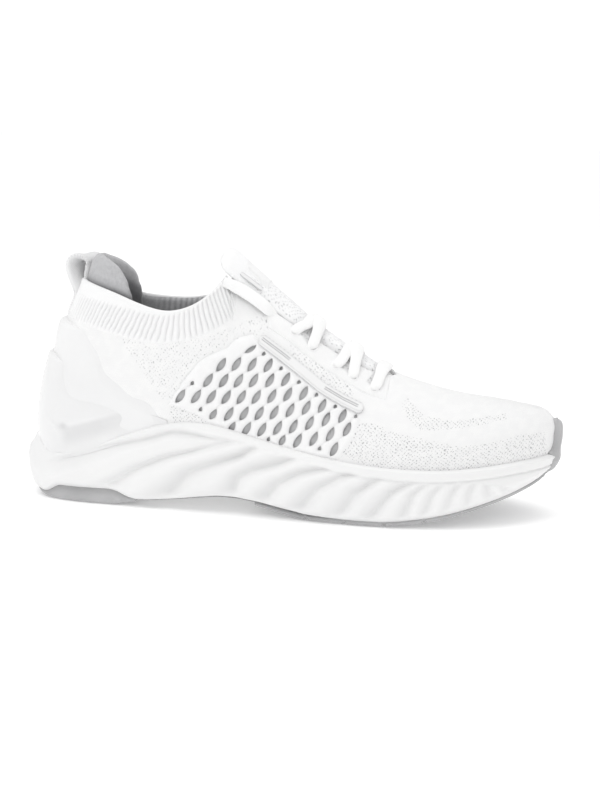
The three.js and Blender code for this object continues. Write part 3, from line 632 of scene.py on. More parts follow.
# ---- shader building ---------------------------------------------------------------------
class Signal:
    """A shader socket; each operation on it adds one node."""

    def __init__(self, shader, socket):
        self.shader = shader
        self.socket = socket

    def math(self, operation, other=0.0, addend=None, clamp=False):
        node = self.shader.node("ShaderNodeMath", operation=operation, use_clamp=clamp)
        for socket, value in zip(node.inputs, (self, other, addend)):
            if value is not None:
                self.shader.feed(socket, value)
        return Signal(self.shader, node.outputs[0])

    def __add__(self, other):
        return self.math("ADD", other)

    def __sub__(self, other):
        return self.math("SUBTRACT", other)

    def __mul__(self, other):
        return self.math("MULTIPLY", other)

    def __truediv__(self, other):
        return self.math("DIVIDE", other)

    def sine(self, period=None):
        return (self if period is None else self * (2 * pi / period)).math("SINE")

    def positive(self):
        """-1..1 moved to 0..1."""
        return self.math("MULTIPLY_ADD", 0.5, 0.5)

    def ramp(self, low, high, out_low=0.0, out_high=1.0):
        node = self.shader.node("ShaderNodeMapRange", interpolation_type="SMOOTHSTEP")
        for socket, value in zip(node.inputs, (self, low, high, out_low, out_high)):
            self.shader.feed(socket, value)
        return Signal(self.shader, node.outputs[0])

    def parts(self):
        node = self.shader.node("ShaderNodeSeparateXYZ")
        self.shader.feed(node.inputs[0], self)
        return Signal(self.shader, node.outputs[0]), Signal(self.shader, node.outputs[1])


class Shader:
    def __init__(self, name, roughness, specular, sheen=0.0, coat=0.0, subsurface=0.0):
        self.material = bpy.data.materials.new(name)
        self.material.use_nodes = True
        self.tree = self.material.node_tree
        self.inputs = self.tree.nodes["Principled BSDF"].inputs
        self.inputs["Roughness"].default_value = roughness
        self.inputs["Specular IOR Level"].default_value = specular
        self.inputs["Sheen Weight"].default_value = sheen
        self.inputs["Coat Weight"].default_value = coat
        if subsurface:
            self.inputs["Subsurface Weight"].default_value = subsurface
            self.inputs["Subsurface Radius"].default_value = (1, 1, 1)
            self.inputs["Subsurface Scale"].default_value = 0.002

    def node(self, kind, **settings):
        node = self.tree.nodes.new(kind)
        for key, value in settings.items():
            setattr(node, key, value)
        return node

    def feed(self, socket, value):
        if isinstance(value, Signal):
            self.tree.links.new(value.socket, socket)
        else:
            socket.default_value = value

    def attribute(self, name, output="Fac"):
        node = self.node("ShaderNodeAttribute", attribute_name=name)
        return Signal(self, node.outputs[output])

    def cloth(self):
        return self.attribute("kuv", "Vector")

    def object_place(self):
        return Signal(self, self.node("ShaderNodeTexCoord").outputs["Object"])

    def noise(self, scale, detail, roughness, place=None):
        node = self.node("ShaderNodeTexNoise")
        node.inputs["Scale"].default_value = scale
        node.inputs["Detail"].default_value = detail
        node.inputs["Roughness"].default_value = roughness
        self.feed(node.inputs["Vector"], place or self.object_place())
        return Signal(self, node.outputs["Fac"])

    def cells(self, scale, place=None):
        node = self.node("ShaderNodeTexVoronoi")
        node.inputs["Scale"].default_value = scale
        self.feed(node.inputs["Vector"], place or self.object_place())
        return Signal(self, node.outputs["Distance"])

    def mix(self, factor, first, second):
        node = self.node("ShaderNodeMix", data_type="RGBA")
        self.feed(node.inputs[0], factor)
        for index, colour in ((6, first), (7, second)):
            self.feed(node.inputs[index], colour if isinstance(colour, Signal)
                      else (*colour, 1))
        return Signal(self, node.outputs[2])

    def shaded(self, colour, shade, attribute="painted_shade_and_ribs", amount=1.0):
        """Mix towards a painted shade colour where a mesh attribute says so."""
        factor = self.attribute(attribute).math("MULTIPLY", amount, clamp=True)
        return self.mix(factor, colour, shade)

    def finished(self, colour, height, bump, roughness):
        """Wire up the surface; bump is the relief's depth in metres."""
        node = self.node("ShaderNodeBump")
        self.feed(node.inputs["Height"], height)
        node.inputs["Distance"].default_value = bump
        node.inputs["Strength"].default_value = 1.0
        self.feed(self.inputs["Base Color"], colour)
        self.feed(self.inputs["Normal"], Signal(self, node.outputs[0]))
        self.feed(self.inputs["Roughness"], roughness)
        return self.material


# ---- materials ---------------------------------------------------------------------------
def stitch_height(place, wale, course, slant=0.9):
    """Knit loops in V pairs; wale and course are a loop's width and height in mm."""
    x, y = place.parts()
    from_middle = ((x / wale).math("FRACT") - 0.5).math("ABSOLUTE")
    rows = y / course + from_middle * (2 * slant)
    row_height = (rows * (2 * pi)).sine().positive()
    loop_height = (from_middle * 2.0 * pi).sine()
    return (row_height.math("POWER", 0.7)
            * loop_height.math("MAXIMUM", 0.001).math("POWER", 0.6))


def pinholes(shader, place, x, y):
    """0..1 pattern of small holes on a diamond lattice where the pin attribute is set."""
    pitch, wander, stretch = 2.3, 3.4, 1.15
    mask = shader.attribute("pin")
    shift_x = (shader.noise(scale=0.55, detail=2, roughness=0.5, place=place) - 0.5) * wander
    moved = shader.node("ShaderNodeVectorMath", operation="ADD")
    shader.feed(moved.inputs[0], place)
    moved.inputs[1].default_value = (37.0, 11.0, 0.0)   # so that y wanders unlike x
    moved = Signal(shader, moved.outputs[0])
    shift_y = (shader.noise(scale=0.6, detail=2, roughness=0.5, place=moved) - 0.5) * wander
    x = x + shift_x
    y = y + shift_y
    rising = x / pitch + y / (pitch * stretch)
    falling = x / pitch - y / (pitch * stretch)
    a = rising.math("FRACT") - 0.5
    b = falling.math("FRACT") - 0.5
    distance = (a * a + b * b).math("SQRT")
    size = shader.noise(scale=1.1, detail=1.0, roughness=0.5, place=place)
    ragged = shader.noise(scale=0.45, detail=3, roughness=0.6, place=place)
    dots = (distance + (size - 0.5) * 0.5).ramp(0.10, 0.25, out_low=1.0, out_high=0.0)
    return dots * (mask + (ragged - 0.5) * 1.1).ramp(0.35, 0.65)


def knit_material(name, light, dark, bump, wale=1.05, course=0.78, floats=0.5,
                  pins=True, pin_shade=0.57):
    shader = Shader(name, roughness=0.88, specular=0.25, sheen=0.25)
    place = shader.cloth()
    loops = stitch_height(place, wale, course)
    dense = shader.noise(scale=0.16, detail=2.0, roughness=0.5, place=place).ramp(0.42, 0.62)
    # short floats that cross the loops in the denser areas
    x, y = place.parts()
    crossing = (x + y * 0.5).sine(period=2.1) * (y - x * 0.4).sine(period=1.6)
    crossing = crossing.positive()
    fuzz = shader.noise(scale=1.6, detail=4.0, roughness=0.65, place=place)
    height = loops + crossing * dense * floats
    height = height + fuzz * 0.5
    # colour follows the loops' height, so the low yarn between loops is painted darker as shade; the
    # fuzz adds random tone
    colour = shader.mix(height.ramp(0.35, 1.1), dark, light)
    # painted shade where the mesh attribute says: rib grooves, creases round the window holes, sunk
    # triangles
    colour = shader.shaded(colour, (0.42, 0.42, 0.43), amount=0.55)
    if pins:
        hole = pinholes(shader, place, x, y)
        # the pinholes are painted dark, as shade inside them
        colour = shader.mix(hole * pin_shade, colour, (0.24, 0.24, 0.25))
        height = height - hole * 1.2
    return shader.finished(colour, height, bump, 0.88)


def foam_material(name, dark, light):
    shader = Shader(name, roughness=0.55, specular=0.35, subsurface=0.15)
    grain = shader.noise(scale=900, detail=3, roughness=0.6)
    clouds = shader.noise(scale=14, detail=3, roughness=0.5)
    beads = shader.cells(scale=1500)
    colour = shader.mix(clouds.ramp(0.3, 0.75), dark, light)
    # painted shade on the waves' under faces and in the groove under the lip
    colour = shader.shaded(colour, (0.62, 0.62, 0.625))
    # painted shadow: near-black line along the lower edge of the arch
    colour = shader.shaded(colour, (0.085, 0.085, 0.09), attribute="painted_dark_shade")
    return shader.finished(colour, grain + beads * 0.5, 0.00006,
                           clouds.ramp(0.2, 0.8, out_low=0.48, out_high=0.62))


def plastic_material(name, dark, light, roughness):
    shader = Shader(name, roughness, specular=0.5, coat=0.15, subsurface=0.1)
    clouds = shader.noise(scale=22, detail=3, roughness=0.5)
    grain = shader.noise(scale=700, detail=2, roughness=0.5)
    colour = shader.mix(clouds.ramp(0.3, 0.75), dark, light)
    # painted shade: under the clip's crest, in its dimple, and in the trim strips' lines, slots and
    # pits
    colour = shader.shaded(colour, (0.45, 0.45, 0.46))
    gloss = clouds.ramp(0.2, 0.8, out_low=roughness - 0.06, out_high=roughness + 0.1)
    return shader.finished(colour, grain, 0.00003, gloss)


def rubber_material(name, dark, light, roughness=0.6):
    shader = Shader(name, roughness, specular=0.4)
    grain = shader.noise(scale=1100, detail=3, roughness=0.6)
    clouds = shader.noise(scale=30, detail=4, roughness=0.55)
    scuffs = shader.noise(scale=160, detail=5, roughness=0.7).ramp(0.55, 0.72)
    colour = shader.mix(clouds.ramp(0.3, 0.7), dark, light)
    scuffed = tuple(min(1, channel * 1.35) for channel in light)
    colour = shader.mix(scuffs * 0.18, colour, scuffed)
    gloss = clouds.ramp(0.2, 0.8, out_low=roughness - 0.08, out_high=roughness + 0.12)
    return shader.finished(colour, grain, 0.00008, gloss)


def woven_material(name, dark, light, pitch, bump=0.0001, diagonal=False, shade=None,
                   by_cloth=True):
    """Plain weave by cloth coordinates, or by object place in mm."""
    shader = Shader(name, roughness=0.9, specular=0.2, sheen=0.3)
    if by_cloth:
        place = shader.cloth()
    else:
        scale = shader.node("ShaderNodeVectorMath", operation="SCALE")
        shader.feed(scale.inputs[0], shader.object_place())
        scale.inputs["Scale"].default_value = 1000
        place = Signal(shader, scale.outputs[0])
    x, y = place.parts()
    if diagonal:
        x, y = x + y, x - y
    threads = (x.sine(period=pitch) * y.sine(period=pitch)).positive()
    height = threads + shader.noise(scale=60, detail=4, roughness=0.6) * 0.6
    colour = shader.mix(height.ramp(0.2, 1.2), dark, light)
    if shade:
        colour = shader.shaded(colour, shade)
    return shader.finished(colour, height, bump, 0.9)


def lining_material(name, dark, light):
    """Brushed pile over a fine mesh, ribbed where one attribute says; the colour follows the relief,
    so the rib grooves take painted shade, and a second attribute paints dark shade into deep places.
    """
    shader = Shader(name, roughness=0.95, specular=0.15, sheen=0.35)
    place = shader.cloth()
    mesh = shader.cells(scale=1.5, place=place)
    clouds = shader.noise(scale=0.35, detail=4, roughness=0.65, place=place)
    x, _ = place.parts()
    ribs = x.sine(period=2.9).positive() * shader.attribute("painted_shade_and_ribs")
    height = mesh.ramp(0.1, 0.5) * 0.3 + (clouds * 0.9 + ribs * 0.7)
    colour = shader.mix(height.ramp(0.25, 1.5), dark, light)
    # painted dark shade in deep places, such as inside the heel pad
    colour = shader.shaded(colour, (0.10, 0.10, 0.105), attribute="painted_dark_shade")
    return shader.finished(colour, height, 0.00022, 0.95)


KNIT = knit_material("knit", light=(0.91, 0.91, 0.905), dark=(0.835, 0.835, 0.84),
                     bump=0.00008)
KNIT_PUFFY = knit_material("knit_puffy", light=(0.91, 0.91, 0.905), dark=(0.835, 0.835, 0.84),
                           bump=0.00006, floats=0.3)
KNIT_RIB = knit_material("knit_rib", light=(0.925, 0.925, 0.92), dark=(0.865, 0.865, 0.87),
                         bump=0.00006, wale=0.82, course=0.7, floats=0.0, pins=False)
TONGUE_MESH = knit_material("tongue_mesh", light=(0.94, 0.94, 0.94), dark=(0.87, 0.87, 0.875),
                            bump=0.00008, wale=1.0, course=0.8, pin_shade=0.5)
FOAM = foam_material("midsole_foam", dark=(0.80, 0.80, 0.802), light=(0.83, 0.83, 0.828))
FILM = plastic_material("tpu_film", dark=(0.79, 0.79, 0.793), light=(0.83, 0.83, 0.83),
                        roughness=0.38)
CLIP = plastic_material("tpu_clip", dark=(0.775, 0.775, 0.778), light=(0.825, 0.825, 0.825),
                        roughness=0.36)
STRIP = plastic_material("tpu_strip", dark=(0.79, 0.79, 0.79), light=(0.84, 0.84, 0.84),
                         roughness=0.42)
RUBBER = rubber_material("outsole_rubber", dark=(0.43, 0.43, 0.435), light=(0.50, 0.50, 0.505))
LINING = lining_material("lining", dark=(0.30, 0.30, 0.31), light=(0.52, 0.52, 0.53))
PAD_TEXTILE = lining_material("pad_textile", dark=(0.40, 0.40, 0.41), light=(0.60, 0.60, 0.61))
SOCK = lining_material("sock_textile", dark=(0.30, 0.30, 0.31), light=(0.42, 0.42, 0.43))
BACKING = woven_material("panel_lining", dark=(0.33, 0.33, 0.335), light=(0.68, 0.68, 0.685),
                         pitch=1.1, bump=0.0002)
LACE = woven_material("lace", dark=(0.88, 0.88, 0.88), light=(0.95, 0.95, 0.945), pitch=0.75,
                      bump=0.00008, diagonal=True)
WEBBING = woven_material("webbing", dark=(0.74, 0.74, 0.75), light=(0.88, 0.88, 0.88),
                         pitch=1.2, bump=0.00016, shade=(0.36, 0.36, 0.37))
LABEL = woven_material("label", dark=(0.80, 0.80, 0.80), light=(0.90, 0.90, 0.90), pitch=0.6)
THREAD = woven_material("thread", dark=(0.78, 0.78, 0.78), light=(0.92, 0.92, 0.92),
                        pitch=0.4, by_cloth=False)
BOARD = woven_material("strobel_board", dark=(0.5, 0.5, 0.5), light=(0.62, 0.62, 0.62),
                       pitch=1.3, by_cloth=False)
STIFFENER = rubber_material("stiffener", dark=(0.62, 0.6, 0.55), light=(0.7, 0.68, 0.62),
                            roughness=0.5)


# ---- outlines on the drawing plane -------------------------------------------------------
def segment_distance(x, y, line, closed=True):
    ends = np.asarray(line, float)
    starts, ends = (ends, np.roll(ends, -1, 0)) if closed else (ends[:-1], ends[1:])
    best = np.full(np.shape(x), 1e9)
    for (ax, ay), (bx, by) in zip(starts, ends):
        dx, dy = bx - ax, by - ay
        t = np.clip(((x - ax) * dx + (y - ay) * dy) / (dx * dx + dy * dy + 1e-12), 0, 1)
        best = np.minimum(best, np.hypot(x - ax - t * dx, y - ay - t * dy))
    return best


def is_inside(x, y, outline):
    result = np.zeros(np.shape(x), bool)
    starts = np.asarray(outline, float)
    for (ax, ay), (bx, by) in zip(starts, np.roll(starts, -1, 0)):
        if ay == by:
            continue
        result ^= ((ay > y) != (by > y)) & (x < (bx - ax) * (y - ay) / (by - ay) + ax)
    return result


def inside_distance(x, y, outline):
    """Distance to an outline, positive inside it."""
    distance = segment_distance(x, y, outline)
    return np.where(is_inside(x, y, outline), distance, -distance)


def wall_lengths():
    """Wall height by station and length along the wall, in mm, to measure the fabric."""
    stations = np.linspace(0, STATIONS, 127)
    wall = point(stations[:, None], np.linspace(0, 1, 50)[None, :])
    height = blur(np.linalg.norm(np.diff(wall, axis=1), axis=-1).sum(1), 6)
    return stations, height, lengths_along(point(stations, 0.45))


FABRIC_STATIONS, FABRIC_HEIGHT, FABRIC_LENGTH = wall_lengths()


def fabric_place(around, up):
    """Distances over the upper in mm: along it from the heel, and up from the sole."""
    around, up = np.broadcast_arrays(around, up)
    at = station(around)
    return weave(np.interp(at, FABRIC_STATIONS, FABRIC_LENGTH),
                 up * np.interp(at, FABRIC_STATIONS, FABRIC_HEIGHT))


# Outline of the open mesh window in the side of the upper.
WINDOW = [
    (83.5,203), (87,197), (92,189.5), (98.5,181.5), (104,177.5), (113,174), (119,168.5),
    (126.5,166.5), (131,172.5), (141,180.5), (152.5,189.5), (163,197.5), (172.5,203),
    (179,206), (180.5,212), (177.5,220), (173,226), (168.5,230.5), (159,229.5), (148,226.5),
    (136,222.5), (125,219.5), (116,216.5), (106,213), (97,207.5), (90,205)]
# Areas of pinholes: strength and outline.
PIN_AREAS = [
    (1.0, [(169.5,226), (173.5,214), (178.5,210.85), (188.25,211.85), (195.9,215.65),
           (207.4,218.5), (221.75,221.4), (231.3,223.3), (245.65,221.4), (251.5,220),
           (251.5,238.5), (220,241.5), (190,239)]),
    (0.8, [(248.5,221), (260,217.1), (273.4,215.5), (274.5,229), (248.5,239)]),
    (0.85, [(200,200), (204,198), (212.5,207.5), (227.5,210), (240,208), (253,206),
            (254,209), (240,212.5), (225,214.5), (210,215), (204,208.5)]),
    (0.7, [(84,200), (95,202), (107,214), (85,214)]),
    (0.62, [(146,169), (159,176), (172.5,186), (178,196), (173,201), (159,191), (143,175)]),
    (0.5, [(56,166), (75,172.5), (100,168), (120,161), (131,156), (143,165), (131,169),
           (125,167), (111,175), (98,185), (86,201), (80,200), (70,186)])]


def pin_strength(x, y):
    strength = np.zeros(np.shape(x))
    for amount, outline in PIN_AREAS:
        strength = np.maximum(strength, amount * ease(-1.5, 1.5, inside_distance(x, y, outline)))
    return strength


# ---- knit upper --------------------------------------------------------------------------
# station, height of the collar's lower edge
COLLAR_BOTTOM = [[0,100], [2,98], [3,96.3], [4,93.5], [5,90.5], [6,89.2], [7,91.5], [8,96.5],
                 [9,102.5], [9.6,114], [9.8,120]]
# station, half width of the throat
THROAT = [[9,15], [10,14.5], [11,13.5], [13,12.5], [13.5,11.8], [13.8,9.8], [14.0,6.5],
          [14.1,3.5], [14.16,0.3]]
THROAT_START, THROAT_END = 9, 14.16


def throat_width(stations):
    return lookup(THROAT, stations)


def top_edge(around):
    """Up value of the upper's edge, which dips along the throat."""
    at = station(around)
    up = np.ones(at.shape)
    throat = (at > THROAT_START) & (at < THROAT_END)
    up[throat] = up_at_width(around[throat], throat_width(at[throat]))
    return up


def collar_bottom(around):
    return up_at_height(around, lookup(COLLAR_BOTTOM, station(around)))


def build_upper():
    # stations are closest round the end of the throat
    stations = np.unique(np.concatenate([
        np.arange(0, 13.2, 1 / 14), np.arange(13.2, 14.3, 1 / 45),
        np.arange(14.3, 21, 1 / 14), [21]]).round(5))
    line = both_sides(stations)
    at = station(line)
    top = top_edge(line) - 0.02 * (1 - ease(9.3, 9.58, at))
    rows = np.linspace(0, 1, 118)
    around, up = np.broadcast_arrays(line[:, None], top[:, None] * rows[None, :])
    x, y = drawn_side(around, up)
    sunk = 1.9 * ease(0.1, 1.3, inside_distance(x, y, WINDOW))     # behind the window
    ripple = (np.sin(around * 7.3 + up * 19) + np.sin(around * 3.1 - up * 31)) * 0.22
    ripple = ripple * ease(0, 0.3, up) * (1 - ease(0.8, 1.0, up))
    # the throat's edge turns in
    edge = ease(0.965, 1.0, rows)[None, :] * (ease(9.3, 9.7, at) * (at < THROAT_END))[:, None]
    # the knit runs up behind the collar
    seam = np.where(at < 9.6, collar_bottom(line), 1.2)[:, None]
    behind = ease(0.0, 0.03, up - seam) * (1 - ease(9.2, 9.56, station(around)))
    outside = (0.35 * ripple - sunk) * (1 - behind) - 1.1 * behind - 0.7 * edge ** 2
    upper = skin("upper_knit", around, up, outside, -2.2 + 0.25 * edge + 0.25 * behind,
                 attrs={"kuv": fabric_place(around, up), "pin": pin_strength(x, y)}, merge=0.02)
    finish(upper, KNIT, "knit", "flex", "knit_upper_rear", "knit_vamp_forefoot")


# ---- ribbed collar -----------------------------------------------------------------------
RIB_PITCH = 2.6
# station, lean of the ribs as a share of the height below the edge
RIB_LEAN = [[0,0], [1.5,-0.04], [3.2,-0.22], [4.4,-0.28], [5.6,-0.18], [6.6,0.04], [7.8,0.22],
            [8.8,0.36], [9.57,0.42]]
# station, share of the collar's height below its smooth hem
HEM_START = [[0,.52], [3,.58], [5,.70], [6.5,.80], [8,.90], [9.57,.94]]


def build_collar():
    line = both_sides(np.append(np.arange(0, 9.56, 0.025), 9.57))
    top = top_edge(line)
    bottom = np.minimum(collar_bottom(line), top - 0.004)
    rows = np.linspace(0, 1, 34)
    up = between(bottom, top, rows)
    around = np.broadcast_to(line[:, None], up.shape)
    at = station(around)
    length = lengths_along(point(line, (bottom + top) / 2 * 0.35 + 0.65 * top))
    length = (length - length[len(length) // 2])[:, None]
    lean = lookup(RIB_LEAN, at) * np.where(line > 0, 1, -1)[:, None]
    from_top = (up - top[:, None]) * 112                       # mm, negative
    wobble = 0.12 * np.sin(up * 60 + length * 0.5)
    rib = np.abs(np.cos(pi * (length + lean * from_top + wobble) / RIB_PITCH)) ** 0.8
    ribbed = (ease(0.7, 2.2, at) * (1 - ease(8.7, 9.5, at)) * ease(0.0, 0.16, rows)
              * (1 - ease(0, 0.14, rows - lookup(HEM_START, at))))
    hem = 0.35 * bell(rows - 0.94, 0.06)
    body = 1 - ease(9.1, 9.5, at)                             # fades at the throat ends
    turned = ease(0.94, 1.0, rows)
    outside = (-0.22 + (0.34 * ease(0, 0.12, rows) + ribbed * (1.15 * rib - 0.62) + hem) * body
               - 1.0 * turned ** 2 - 0.3 * (1 - body))
    # the grooves between ribs are painted darker, as shade
    collar = skin("rib_collar_knit", around, up, outside, -2.1 + 0.5 * turned,
                  attrs={"kuv": weave(length, up * WALL_HEIGHT),
                         "painted_shade_and_ribs": 0.5 * ribbed * (1 - rib) ** 1.3})
    finish(collar, KNIT_RIB, "knit", "rearfoot", "rib_collar")


# ---- heel counter film and moulded clip --------------------------------------------------
# station, height of the upper edge
FILM_TOP = [[0,98], [1.5,97.5], [2.5,95.5], [3.2,93.2], [3.6,90], [3.85,84], [4.0,78],
            [4.3,73.5], [4.6,69], [5.3,63], [5.8,58], [6.3,55], [6.5,49]]
CLIP_TOP = [[0,79.5], [1.5,79.5], [2.2,77], [3,70], [4,61], [5,54], [6,50], [6.3,48]]
FILM_REACH = 6.5                    # last station
CLIP_REACH = 6.3


def heel_grid(top_table, reach, step, rows, below_rim, smoothing):
    """Grid round the heel from below the foam's rim to a top line.

    Gives around, up, z, station, distance below the top and rough mm from the front end."""
    line = both_sides(np.arange(0, reach, step))
    bottom = rim_height(line) - below_rim
    top = np.maximum(blur(lookup(top_table, station(line)), smoothing), bottom + 3)
    z = between(bottom, top, np.linspace(0, 1, rows))
    around = np.broadcast_to(line[:, None], z.shape)
    at = station(around)
    return around, up_at_height(around, z), z, at, top[:, None] - z, (reach - at) * 14


def build_film():
    around, up, z, at, below_top, from_front = heel_grid(
        FILM_TOP, FILM_REACH, step=0.045, rows=96, below_rim=2.5, smoothing=2.5)
    # the top edge is rolled round the back
    thickness = 1.0 + 2.4 * (1 - ease(1.6, 3.3, at)) * ease(24, 3, below_top)
    back = 1 - ease(1.8, 3.2, at)
    fade = round_edge(below_top / 2.6) * back + ease(0, 11, below_top) * (1 - back)
    fade = fade * ease(0, 16, from_front)
    x, y = drawn_side(around, up)
    bulge = 0.9 * bell(x - 38, 8) * bell(y - 196, 7.5)
    film = skin("heel_film", around, up, -0.3 + (thickness + 0.3 + bulge) * fade, -0.5,
                attrs={"kuv": weave(np.abs(around) * STATION_LENGTH, z)})
    finish(film, FILM, "tpu_film", "rearfoot", "heel_counter_film")


def build_clip():
    around, up, z, at, below_top, from_front = heel_grid(
        CLIP_TOP, CLIP_REACH, step=0.04, rows=110, below_rim=3.0, smoothing=3)
    x, y = drawn_side(around, up, lift=2.0)
    below_crest = y - (213.5 - (x - 31) * 0.25)     # the crest line rises forwards
    crest = (2.3 * ease(29, 34, x) * (1 - ease(42, 75, x))
             * np.where(below_crest < 0, bell(below_crest, 3.5), 1 - ease(0, 4.5, below_crest)))
    hollow = (0.5 * ease(28, 33, x) * (1 - ease(60, 75, x))
              * ease(0, 4, below_crest) * (1 - ease(7, 22, below_crest)))
    relief = crest - hollow
    for _ in range(2):
        relief = blur(blur(relief, 4.5, wrap=True), 4.0, axis=1)
    # a dimple and a slanted nib at the rear end of the crest
    relief -= 0.8 * bell(x - 31.5, 2) * bell(y - 213, 1.75)
    relief += 0.7 * bell((x - 27.5) - (y - 212.5) * 0.6, 1.3) * bell(y - 212.5, 3)
    # painted shade below the crest and in the dimple
    shade = (0.26 * ease(28.5, 34, x) * (1 - ease(50, 75, x))
             * ease(-0.75, 2, below_crest) * (1 - ease(5, 13, below_crest))
             + 0.40 * bell(x - 31.5, 2.25) * bell(y - 213, 1.6))
    back = 1 - ease(1.7, 2.7, at)
    thickness = 1.5 + 1.9 * back + 0.4 * (1 - ease(3, 5, at))
    fade = round_edge(below_top / 2.4) * back + ease(0, 14, below_top) * (1 - back)
    fade = fade * ease(0, 26, from_front)
    clip = skin("heel_clip_moulded", around, up, 0.5 + (thickness - 0.5 + relief) * fade, 0.2,
                attrs={"kuv": weave(np.abs(around) * STATION_LENGTH, z), "painted_shade_and_ribs": shade})
    finish(clip, CLIP, "tpu_film", "rearfoot", "heel_clip")


# ---- padded heel tab and collar linings --------------------------------------------------
# station, up value of the pad's top edge
PAD_TOP_OUTER = [[0,1.127], [0.4,1.13], [0.8,1.132], [1.2,1.134], [1.6,1.136], [2,1.136],
                 [2.4,1.134], [2.8,1.13], [3,1.126], [3.4,1.119], [3.6,1.112], [3.8,1.102],
                 [4.0,1.09], [4.2,1.074], [4.4,1.045], [4.55,1.0], [4.65,0.965], [4.75,0.93]]
PAD_TOP_INNER = [[0,1.127], [0.8,1.126], [1.2,1.122], [1.6,1.12], [2,1.121], [2.4,1.126],
                 [2.8,1.129], [3,1.127], [3.2,1.124], [3.4,1.117], [3.6,1.098], [3.8,1.070],
                 [4.0,1.030], [4.12,0.975], [4.22,0.91], [4.4,0.86], [4.75,0.84]]
PAD_REACH = 4.75
PAD_BOTTOM = 84.0                   # height


def build_heel_pad():
    line = both_sides(np.linspace(0, PAD_REACH, 90))
    rows = np.linspace(0, 1, 56)
    at = station(line)
    top = blur(np.where(line < 0, lookup(PAD_TOP_INNER, at), lookup(PAD_TOP_OUTER, at)), 1.2)
    up = between(up_at_height(line, PAD_BOTTOM), top, rows)
    around = np.broadcast_to(line[:, None], up.shape)
    at = station(around)
    lobe = 1 + 0.15 * bell(at - 2.4, 1.1)
    half = 3.3 * pillow(2 * (rows - 0.5), 5) * round_edge((PAD_REACH - at) * 14 / 5) * lobe
    centre = -6.0 - 0.6 * (lobe - 1) + 1.6 * ease(1.0, 1.1, up) - 1.0 * ease(1.1, 1.2, up)
    deep = 1.0 - ease(1.0, 1.13, up)
    # painted shade: darker near the collar edge, and on the inner faces the deeper they lie
    dark = 0.35 * (1 - ease(0.985, 1.06, up)) + 0.5 * (1 - ease(0.995, 1.028, up))
    pad = skin("heel_tab_cushion", around, up, centre + half, centre - half,
               attrs={"kuv": weave(around * STATION_LENGTH, up * WALL_HEIGHT), "painted_dark_shade": dark},
               inner_attrs={"painted_dark_shade": 0.75 * ease(0.2, 0.9, deep)}, merge=0.01)
    finish(pad, PAD_TEXTILE, "lining", "rearfoot", "heel_tab_pad")
    return pad


def build_collar_lining(side, side_name):
    line = side * np.linspace(0.0, 9.9, 130)
    rows = np.linspace(0, 1, 40)
    up = between(up_at_height(line, 34.0), top_edge(line) - 0.006, rows)
    around = np.broadcast_to(line[:, None], up.shape)
    at = station(around)
    front = ease(4.6, 5.4, at)
    depth = 4.1 * (1 - front) + 2.35 * front
    padding = 1.5 * pillow(2 * rows - 1, 6) * (1 - 0.3 * ease(8.5, 9.8, at))
    sheet = skin("collar_lining_sheet_" + side_name, around, up, -depth, -depth - 0.3 - padding,
                 attrs={"kuv": weave(np.abs(around) * STATION_LENGTH, up * WALL_HEIGHT),
                        "painted_shade_and_ribs": ease(4.5, 5.5, at) * ease(0.75, 0.8, up)})
    finish(sheet, LINING, "lining", "rearfoot", "collar_lining_" + side_name)


# ---- midsole -----------------------------------------------------------------------------
# Troughs between the moulded waves of the side wall, from heel to toe, as drawn lines.
TROUGHS = [
    [(34,228), (56,223), (74.5,219.5), (86,216), (92,217)],
    [(59,238.5), (68.5,233), (82,228), (96.5,225), (107,222.5)],
    [(90.5,240.5), (94.5,235.75), (106,232), (120,228), (125,225)],
    [(116.5,246.25), (118.5,238.5), (125,235), (139.5,232), (145,230)],
    [(135.5,245.5), (138.5,241.5), (149,236.5), (158.5,235)],
    [(155,248), (158.5,243.5), (169,238.5), (175,237)],
    [(173,253), (177.75,246.25), (188.25,239.5)],
    [(191,252), (196,246.25), (203.5,242.5)],
    [(204.5,252.5), (207,247), (212,243)],
    [(214,253.5), (216.5,247.5), (220,243.5)],
    [(224.5,252.5), (226.5,247), (229,243.5)],
    [(235,251.5), (235.5,246.5), (237,243)],
    [(246,249), (244.5,244.5), (244,241)],
    [(254.5,245.5), (253,242), (252,239)],
    [(260.5,243), (258.5,240), (257.5,237)],
    [(265.5,240), (264,237.5), (263,235.5)]]
# Drawn line above which the wall stays plain.
WAVE_TOP = [
    (30,226), (56,218.5), (75,215), (92,213.5), (102.5,216.5), (112,219), (126,222.5),
    (145,228), (158.5,232.5), (175,236), (188,238.5), (203.5,240.5), (220,241.75), (237,241),
    (245,239), (252,236.5), (258,234.5), (264,233), (272.5,230)]
# x, height of the painted shadow line along the lower edge of the arch
ARCH_SHADOW_LINE = [[66,0.3], [80,0.5], [105,1.0], [130,1.35], [160,1.1], [190,0.3]]
SOLE_LINE = np.linspace(-STATIONS, STATIONS, RING * 22 + 1)
WALL_COLUMNS = 84


def past_line(x, y, line):
    """Distance to a line that runs up to the right, positive below and to its right."""
    reach = 30                      # the line is carried on past both ends
    line = np.asarray(line, float)
    first, last = line[0] - line[1], line[-1] - line[-2]
    line = np.concatenate([[line[0] + first / np.linalg.norm(first) * reach], line,
                           [line[-1] + last / np.linalg.norm(last) * reach]])
    best = np.full(np.shape(x), 1e9)
    sign = np.zeros(np.shape(x))
    for (ax, ay), (bx, by) in zip(line[:-1], line[1:]):
        dx, dy = bx - ax, by - ay
        length = math.hypot(dx, dy)
        t = np.clip(((x - ax) * dx + (y - ay) * dy) / (length * length), 0, 1)
        distance = np.hypot(x - ax - t * dx, y - ay - t * dy)
        across = (dx * (y - ay) - dy * (x - ax)) / length
        nearer = distance < best - 1e-9
        best = np.where(nearer, distance, best)
        sign = np.where(nearer, np.sign(across), sign)
    return best * np.where(sign == 0, 1, sign)


